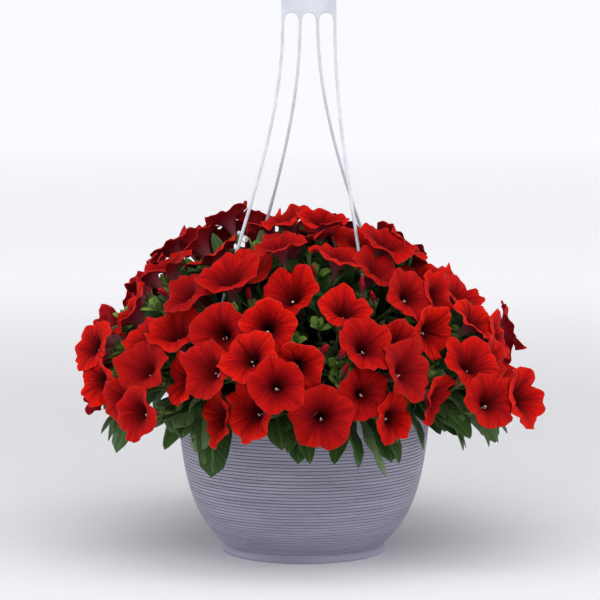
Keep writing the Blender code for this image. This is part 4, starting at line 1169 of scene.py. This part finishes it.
def petal_finish():
    """Petunia petal, soft and velvety: a near-black throat whose veins run out into a warm red limb,
    with a dull burgundy back.

    petal_place holds the place on the limb, square to the axis, and 1 on the back."""
    made, tree = finish_of("velvet_petal", 0.70, 0.05, 0.01, "#FF5040")
    place = node(tree, "Attribute", output="Vector", attribute_name="petal_place")
    own = node(tree, "Attribute", output="Vector", attribute_name="bloom_tone")
    x, y, back = node(tree, "SeparateXYZ", (place,), ALL)
    tone, warmth, _ = node(tree, "SeparateXYZ", (own,), ALL)
    flat = node(tree, "CombineXYZ", (x, y))
    out = node(tree, "VectorMath", (flat,), "Value", operation="LENGTH")
    direction = node(tree, "VectorMath", (flat,), operation="NORMALIZE")
    dx, dy, _ = node(tree, "SeparateXYZ", (direction,), ALL)

    # veins fan out from the throat: noise over the direction, drawn out along it, another for each bloom.
    # The real net between them is finer, and is drawn as coarse as it has to be to show
    drawn_out = node(tree, "Math", (out, 0.22), operation="MULTIPLY")
    fan = node(tree, "CombineXYZ", (dx, dy, drawn_out))
    fan = node(tree, "VectorMath", (fan, own), operation="ADD")
    veins = node(tree, "TexNoise", {"Vector": fan, "Scale": MID_LIMB / VEIN_SPACING, "Detail": 3.0})
    fine = node(tree, "TexNoise", {"Vector": fan, "Scale": MID_LIMB / NET_SPACING, "Detail": 2.0})

    # the dark throat runs out along five rays, in the middle of the lobes, and unevenly along the veins
    ray = node(tree, "Math", (dy, dx), operation="ARCTAN2")
    ray = node(tree, "Math", (ray, LOBES), operation="MULTIPLY")
    ray = node(tree, "Math", (ray,), operation="COSINE")
    ray = node(tree, "Math", (ray, 0.0), operation="MAXIMUM")
    ray = node(tree, "Math", (ray, 8.0), operation="POWER")
    ray = node(tree, "Math", (ray, 0.09), operation="MULTIPLY")
    spread = node(tree, "Math", (veins, 0.5), operation="SUBTRACT")
    spread = node(tree, "Math", (spread, 0.62), operation="MULTIPLY")
    reach = node(tree, "Math", (out, spread), operation="ADD")
    reach = node(tree, "Math", (reach, ray), operation="SUBTRACT")
    limb = node(tree, "ValToRGB", (reach,), stops=[(0.0, "#050103"), (0.31, "#0C0205"), (0.40, "#2C0306"),
                                                   (0.52, "#680607"), (0.70, "#A80A08"), (1.0, "#EE1E0B")])

    # some blooms are cooler than others
    cool = node(tree, "Mix", {0: 1.0, 6: limb, 7: "#F04078"}, 2, data_type="RGBA", blend_type="MULTIPLY")
    cooler = node(tree, "Math", (warmth, 0.50), operation="MULTIPLY")
    limb = node(tree, "Mix", {0: cooler, 6: limb, 7: cool}, 2, data_type="RGBA")

    # dark lines of the net, which fade towards the rim, and a painted highlight along the rim itself
    lines = node(tree, "MapRange", (fine, 0.53, 0.64))
    fading = node(tree, "MapRange", (out, 0.45, 1.0, 0.85, 0.25))
    lines = node(tree, "Math", (lines, fading), operation="MULTIPLY")
    limb = node(tree, "Mix", {0: lines, 6: limb, 7: "#5A0208"}, 2, data_type="RGBA")
    # pale pink painted highlight along the thin rim, where light catches it
    rim_highlight = node(tree, "Math", (veins, 0.24), operation="MULTIPLY")
    rim_highlight = node(tree, "Math", (node(tree, "MapRange", (out, 0.975, 1.0)), rim_highlight), operation="MULTIPLY")
    limb = node(tree, "Mix", {0: rim_highlight, 6: limb, 7: "#FF8A78"}, 2, data_type="RGBA")

    outside = node(tree, "ValToRGB", (out,), stops=[
        (0.0, "#8A7A68"), (0.35, "#905460"), (0.62, "#A2283A"), (1.0, "#CC1C24")])
    colour = node(tree, "Mix", {0: back, 6: limb, 7: outside}, 2, data_type="RGBA")
    deeper = node(tree, "Math", (tone, 0.62), operation="MULTIPLY")
    colour = node(tree, "Mix", {0: deeper, 6: colour, 7: "#7E0910"}, 2, data_type="RGBA")
    relief = node(tree, "Math", (veins, 2.0), operation="MULTIPLY")
    relief = node(tree, "Math", (relief, fine), operation="ADD")
    return finished(made, colour, relief, 0.0014, 0.7)


def leaf_finish(name, dark, light, rib, sheen):
    """Petunia leaf: matt and a little silvery from its soft hairs, mottled, with a paler midrib and
    side veins sunk a little and a greyer underside.

    leaf_place holds the share of the length, the share across, from -1 to 1, and 1 on the underside."""
    made, tree = finish_of(name, 0.55, 0.35, sheen, "#C8E0B0")
    place = node(tree, "TexCoord", output="Object")
    mark = node(tree, "Attribute", output="Vector", attribute_name="leaf_place")
    own = node(tree, "Attribute", output="Vector", attribute_name="leaf_tone")
    s, x, under = node(tree, "SeparateXYZ", (mark,), ALL)
    tone = node(tree, "SeparateXYZ", (own,))
    wide = node(tree, "Math", (x,), operation="ABSOLUTE")

    # a cosine over 50 radians gives 16 side veins along each blade, about 4.5 mm apart, slanting to its tip
    along = node(tree, "Math", (s, 50.0), operation="MULTIPLY")
    slant = node(tree, "Math", (wide, 7.0), operation="MULTIPLY")
    slant = node(tree, "Math", (along, slant), operation="SUBTRACT")
    side_veins = node(tree, "Math", (slant,), operation="COSINE")
    side_veins = node(tree, "Math", (side_veins,), operation="ABSOLUTE")
    side_veins = node(tree, "Math", (side_veins, 14.0), operation="POWER")
    midrib = node(tree, "MapRange", (wide, 0.10, 0.02))
    patches = node(tree, "TexNoise", {"Vector": place, "Scale": cells(14.29), "Detail": 3.0})
    # the real hairs stand some ten times closer, which is too fine to show
    hairs = node(tree, "TexNoise", {"Vector": place, "Scale": cells(1.111), "Detail": 2.0})

    tone = node(tree, "Math", (tone, 0.6), operation="MULTIPLY")
    patches = node(tree, "Math", (patches, 0.4), operation="MULTIPLY")
    share = node(tree, "Math", (tone, patches), operation="ADD")
    colour = node(tree, "Mix", {0: share, 6: dark, 7: light}, 2, data_type="RGBA")
    for shade, strength, over in ((side_veins, 0.25, rib), (midrib, 0.7, rib), (under, 0.45, "#6F8A58")):
        amount = node(tree, "Math", (shade, strength), operation="MULTIPLY")
        colour = node(tree, "Mix", {0: amount, 6: colour, 7: over}, 2, data_type="RGBA")
    sunk = node(tree, "Math", (side_veins, midrib), operation="MAXIMUM")
    relief = node(tree, "Math", (hairs, 0.5), operation="MULTIPLY")
    relief = node(tree, "Math", (relief, sunk), operation="SUBTRACT")
    return finished(made, colour, relief, 0.0004, 0.7)


def stalk_finish():
    """Petunia stalk: pale green and downy, lighter and darker along it."""
    made, tree = finish_of("downy_stalk", 0.6, 0.3, 0.5, "#E8F0D0")
    place = node(tree, "TexCoord", output="Object")
    patches = node(tree, "TexNoise", {"Vector": place, "Scale": cells(8.333), "Detail": 3.0})
    colour = node(tree, "ValToRGB", (patches,), stops=[(0.3, "#2E4A18"), (0.7, "#5E7C34")])
    return finished(made, colour, patches, 0.0004, 0.6)


def middle_finish():
    """The bush's shaded middle, old leaves and stems in deep shadow: almost black green."""
    made, tree = finish_of("shaded_old_leaves", 0.9, 0.1)
    place = node(tree, "TexCoord", output="Object")
    clumps = node(tree, "TexVoronoi", {"Vector": place, "Scale": cells(16.67)})
    colour = node(tree, "ValToRGB", (clumps,), stops=[(0.1, "#0C1408"), (0.8, "#182610")])
    return finished(made, colour, clumps, 0.004)


def anther_finish():
    """Ripe anther, crusted with cream pollen: pale and mealy.  The grains are drawn far coarser than
    real pollen, which is too fine to show."""
    made, tree = finish_of("cream_pollen", 0.85, 0.2)
    place = node(tree, "TexCoord", output="Object")
    meal = node(tree, "TexNoise", {"Vector": place, "Scale": cells(0.6667)})
    colour = node(tree, "ValToRGB", (meal,), stops=[(0.3, "#D8CDB4"), (0.7, "#FFF8E8")])
    return finished(made, colour, meal, 0.0002)


def pot_finish():
    """Injection-moulded polypropylene in lavender grey: satin, darker in the grooves between the ribs
    (painted shade there, with some dust), with faint flow lines that run round the bands.  Its fine tooth is
    drawn at 0.7 mm, several times the real one."""
    made, tree = finish_of("lavender_polypropylene", 0.48, 0.42)
    groove = node(tree, "Attribute", output="Vector", attribute_name="rib_groove")
    place = node(tree, "TexCoord", output="Object")
    drawn_out = node(tree, "Mapping", {"Vector": place, "Scale": (cells(71.43), cells(71.43), cells(6.25))})
    flow = node(tree, "TexNoise", {"Vector": drawn_out, "Scale": 1.0, "Detail": 3.0})
    tooth = node(tree, "TexNoise", {"Vector": place, "Scale": cells(0.7143), "Detail": 2.0})
    colour = node(tree, "ValToRGB", (flow,), stops=[(0.30, "#918EA2"), (0.70, "#A4A1B5")])
    # the grooves are darkened: painted shade in the grooves, with some dust
    groove_shade_and_dust = node(tree, "Math", (node(tree, "SeparateXYZ", (groove,)), 0.72), operation="MULTIPLY")
    colour = node(tree, "Mix", {0: groove_shade_and_dust, 6: colour, 7: "#5E5B6C"}, 2, data_type="RGBA")
    uneven = node(tree, "Math", (flow, 0.2), operation="MULTIPLY")
    uneven = node(tree, "Math", (uneven, 0.40), operation="ADD")
    tree.links.new(uneven, tree.nodes["Principled BSDF"].inputs["Roughness"])
    return finished(made, colour, tooth, 0.0001, 0.5)


def hanger_finish():
    """Injection-moulded nylon in cool white: smooth and a little glossy, with a slight sink along it."""
    made, tree = finish_of("cool_white_nylon", 0.42, 0.35)
    place = node(tree, "TexCoord", output="Object")
    sink = node(tree, "TexNoise", {"Vector": place, "Scale": cells(22.22), "Detail": 2.0})
    colour = node(tree, "ValToRGB", (sink,), stops=[(0.3, "#C8CCD6"), (0.7, "#DADDE6")])
    return finished(made, colour, sink, 0.0004, 0.4)


def mix_finish():
    """Peat potting mix: dark brown crumbs with flecks of white perlite."""
    made, tree = finish_of("peat_potting_mix", 0.95, 0.15)
    place = node(tree, "TexCoord", output="Object")
    crumbs = node(tree, "TexVoronoi", {"Vector": place, "Scale": cells(3.846)})
    flecks = node(tree, "TexNoise", {"Vector": place, "Scale": cells(4.762), "Detail": 2.0})
    peat = node(tree, "ValToRGB", (crumbs,), stops=[(0.0, "#2A1C12"), (0.6, "#140D09")])
    perlite = node(tree, "MapRange", (flecks, 0.66, 0.70))
    colour = node(tree, "Mix", {0: perlite, 6: peat, 7: "#CFC9BE"}, 2, data_type="RGBA")
    return finished(made, colour, crumbs, 0.002)


def floor_finish():
    """Studio floor of matt white acrylic that glows away from the pot, most of all behind it: painted light
    that stands in for the studio lamps on the far floor and wall, pale right round, with a brighter
    background."""
    made, tree = finish_of("studio_acrylic", 0.9, 0.1)
    sockets = tree.nodes["Principled BSDF"].inputs
    place = node(tree, "TexCoord", output="Object")
    tooth = node(tree, "TexNoise", {"Vector": place, "Scale": cells(33.33)})
    colour = node(tree, "ValToRGB", (tooth,), stops=[(0.0, "#F6F6F8"), (1.0, "#FAFAFC")])
    tree.links.new(colour, sockets["Base Color"])
    # the floor's emission is painted light, in place of lamps on the far floor and wall
    away = node(tree, "VectorMath", (place,), "Value", operation="LENGTH")
    glow = node(tree, "MapRange", (away, GLOW_START, GLOW_FULL, 0.0, GLOW), interpolation_type="SMOOTHSTEP")
    y = node(tree, "SeparateXYZ", (place,), 1)
    behind = node(tree, "MapRange", (y, *GLOW_BEHIND))
    sockets["Emission Color"].default_value = linear("#FAFAFD")
    strength = node(tree, "Math", (glow, behind), operation="MULTIPLY")
    tree.links.new(strength, sockets["Emission Strength"])
    return made


# ------------------------------------------------------------------ studio

def make_floor():
    """A round floor that curves up into a wall far out: a profile turned round the pot's axis."""
    bend = np.linspace(0, math.pi / 2, 12)
    flat = [0.01, 0.3, 0.6, 1.0, 1.6, 2.4, 3.6, 5.4, 7.4]
    r = np.concatenate([flat, FLOOR_REACH + COVE * np.sin(bend), [FLOOR_REACH + COVE]])
    z = np.concatenate([np.zeros(len(flat)), COVE - COVE * np.cos(bend), [WALL_TOP]])
    mesh = sleeve_mesh("studio_floor", [turned(r[:, None], z[:, None], steps_round(72))], caps=1)
    mesh.flip_normals()
    mesh.shade_smooth()
    mesh.materials.append(floor_finish())
    add_object("studio_floor", mesh)


def add_light(name, place, aim, size, power):
    """A white soft box that faces its aim."""
    lamp = bpy.data.lights.new(name, "AREA")
    lamp.shape = "RECTANGLE"
    lamp.size, lamp.size_y = size
    lamp.energy = power
    box = add_object(name, lamp)
    box.location = place
    box.rotation_euler = (Vector(aim) - Vector(place)).to_track_quat("-Z", "Y").to_euler()


def light_studio():
    """A broad box overhead and in front, a narrow one at each side, and soft light all round."""
    add_light("overhead_box", (0.0, -1.60, 2.4), (0, -0.2, 0.2), (4.2, 2.8), 84)
    add_light("side_box_left", (-2.2, 0.3, 0.40), (0, 0, 0.12), (1.6, 0.5), 10)
    add_light("side_box_right", (2.2, 0.3, 0.40), (0, 0, 0.12), (1.6, 0.5), 9)
    world = bpy.context.scene.world or bpy.data.worlds.new("studio_air")
    bpy.context.scene.world = world
    world.use_nodes = True
    air = world.node_tree.nodes["Background"]
    air.inputs["Color"].default_value = linear("#F4F5FA")
    air.inputs["Strength"].default_value = 0.23


def place_camera():
    """A long lens a little above the rim, square to the front."""
    elevation = math.radians(6.26)
    distance = 3.4
    aim = np.array((-0.0045, 0.0, 0.300))
    lens = bpy.data.cameras.new("camera")
    lens.sensor_width = 36.0
    lens.lens = 171.3
    lens.clip_end = 50.0
    camera = add_object("camera", lens)
    camera.location = aim + distance * np.array((0.0, -math.cos(elevation), math.sin(elevation)))
    camera.rotation_euler = (math.pi / 2 - elevation, 0, 0)
    bpy.context.scene.camera = camera


# ------------------------------------------------------------------ the whole basket

def build():
    """Grow the plant, then make every piece; the draws keep this order."""
    rng = np.random.default_rng(SEED)
    sprays, strands = grow_sprays(rng)
    taken = strands + [c for s in sprays for c in s["clouds"]]
    leaves = grow_leaves(rng, taken)
    fillers = grow_fillers(rng, taken)
    tips = grow_tips(rng, taken, SHOOTS, 0.0090, (0.004, 0.046), 0.018)
    buds = grow_tips(rng, taken, BUDS, 0.0070, (0.022, 0.040), 0.036)

    petal = petal_finish()
    leaf = leaf_finish("downy_leaf", "#1A380F", "#3C6222", "#5A7C3C", 0.10)
    young = leaf_finish("young_leaf", "#4C7A1C", "#7FA53A", "#A9C468", 0.15)
    make_blooms(sprays, rng, petal)
    make_anthers(sprays, rng, anther_finish())
    make_leaves("petunia_leaves", leaves, rng, leaf, 14, 7, 0.16)
    make_leaves("petunia_inner_leaves", fillers, rng, leaf, 8, 4, 0.16)
    make_stalks(sprays, tips + buds, stalk_finish())
    make_sepals(sprays, buds, rng, young)
    make_shoot_tips(tips, rng, young)
    make_buds(buds, rng, petal)
    make_bush_middle(middle_finish())
    make_pot(pot_finish())
    make_mix(mix_finish())
    white = hanger_finish()
    make_comb_and_hook(white)
    make_strands(white)
    make_clip(white)


build()
make_floor()
light_studio()
place_camera()
bpy.context.scene.view_settings.view_transform = "Standard"
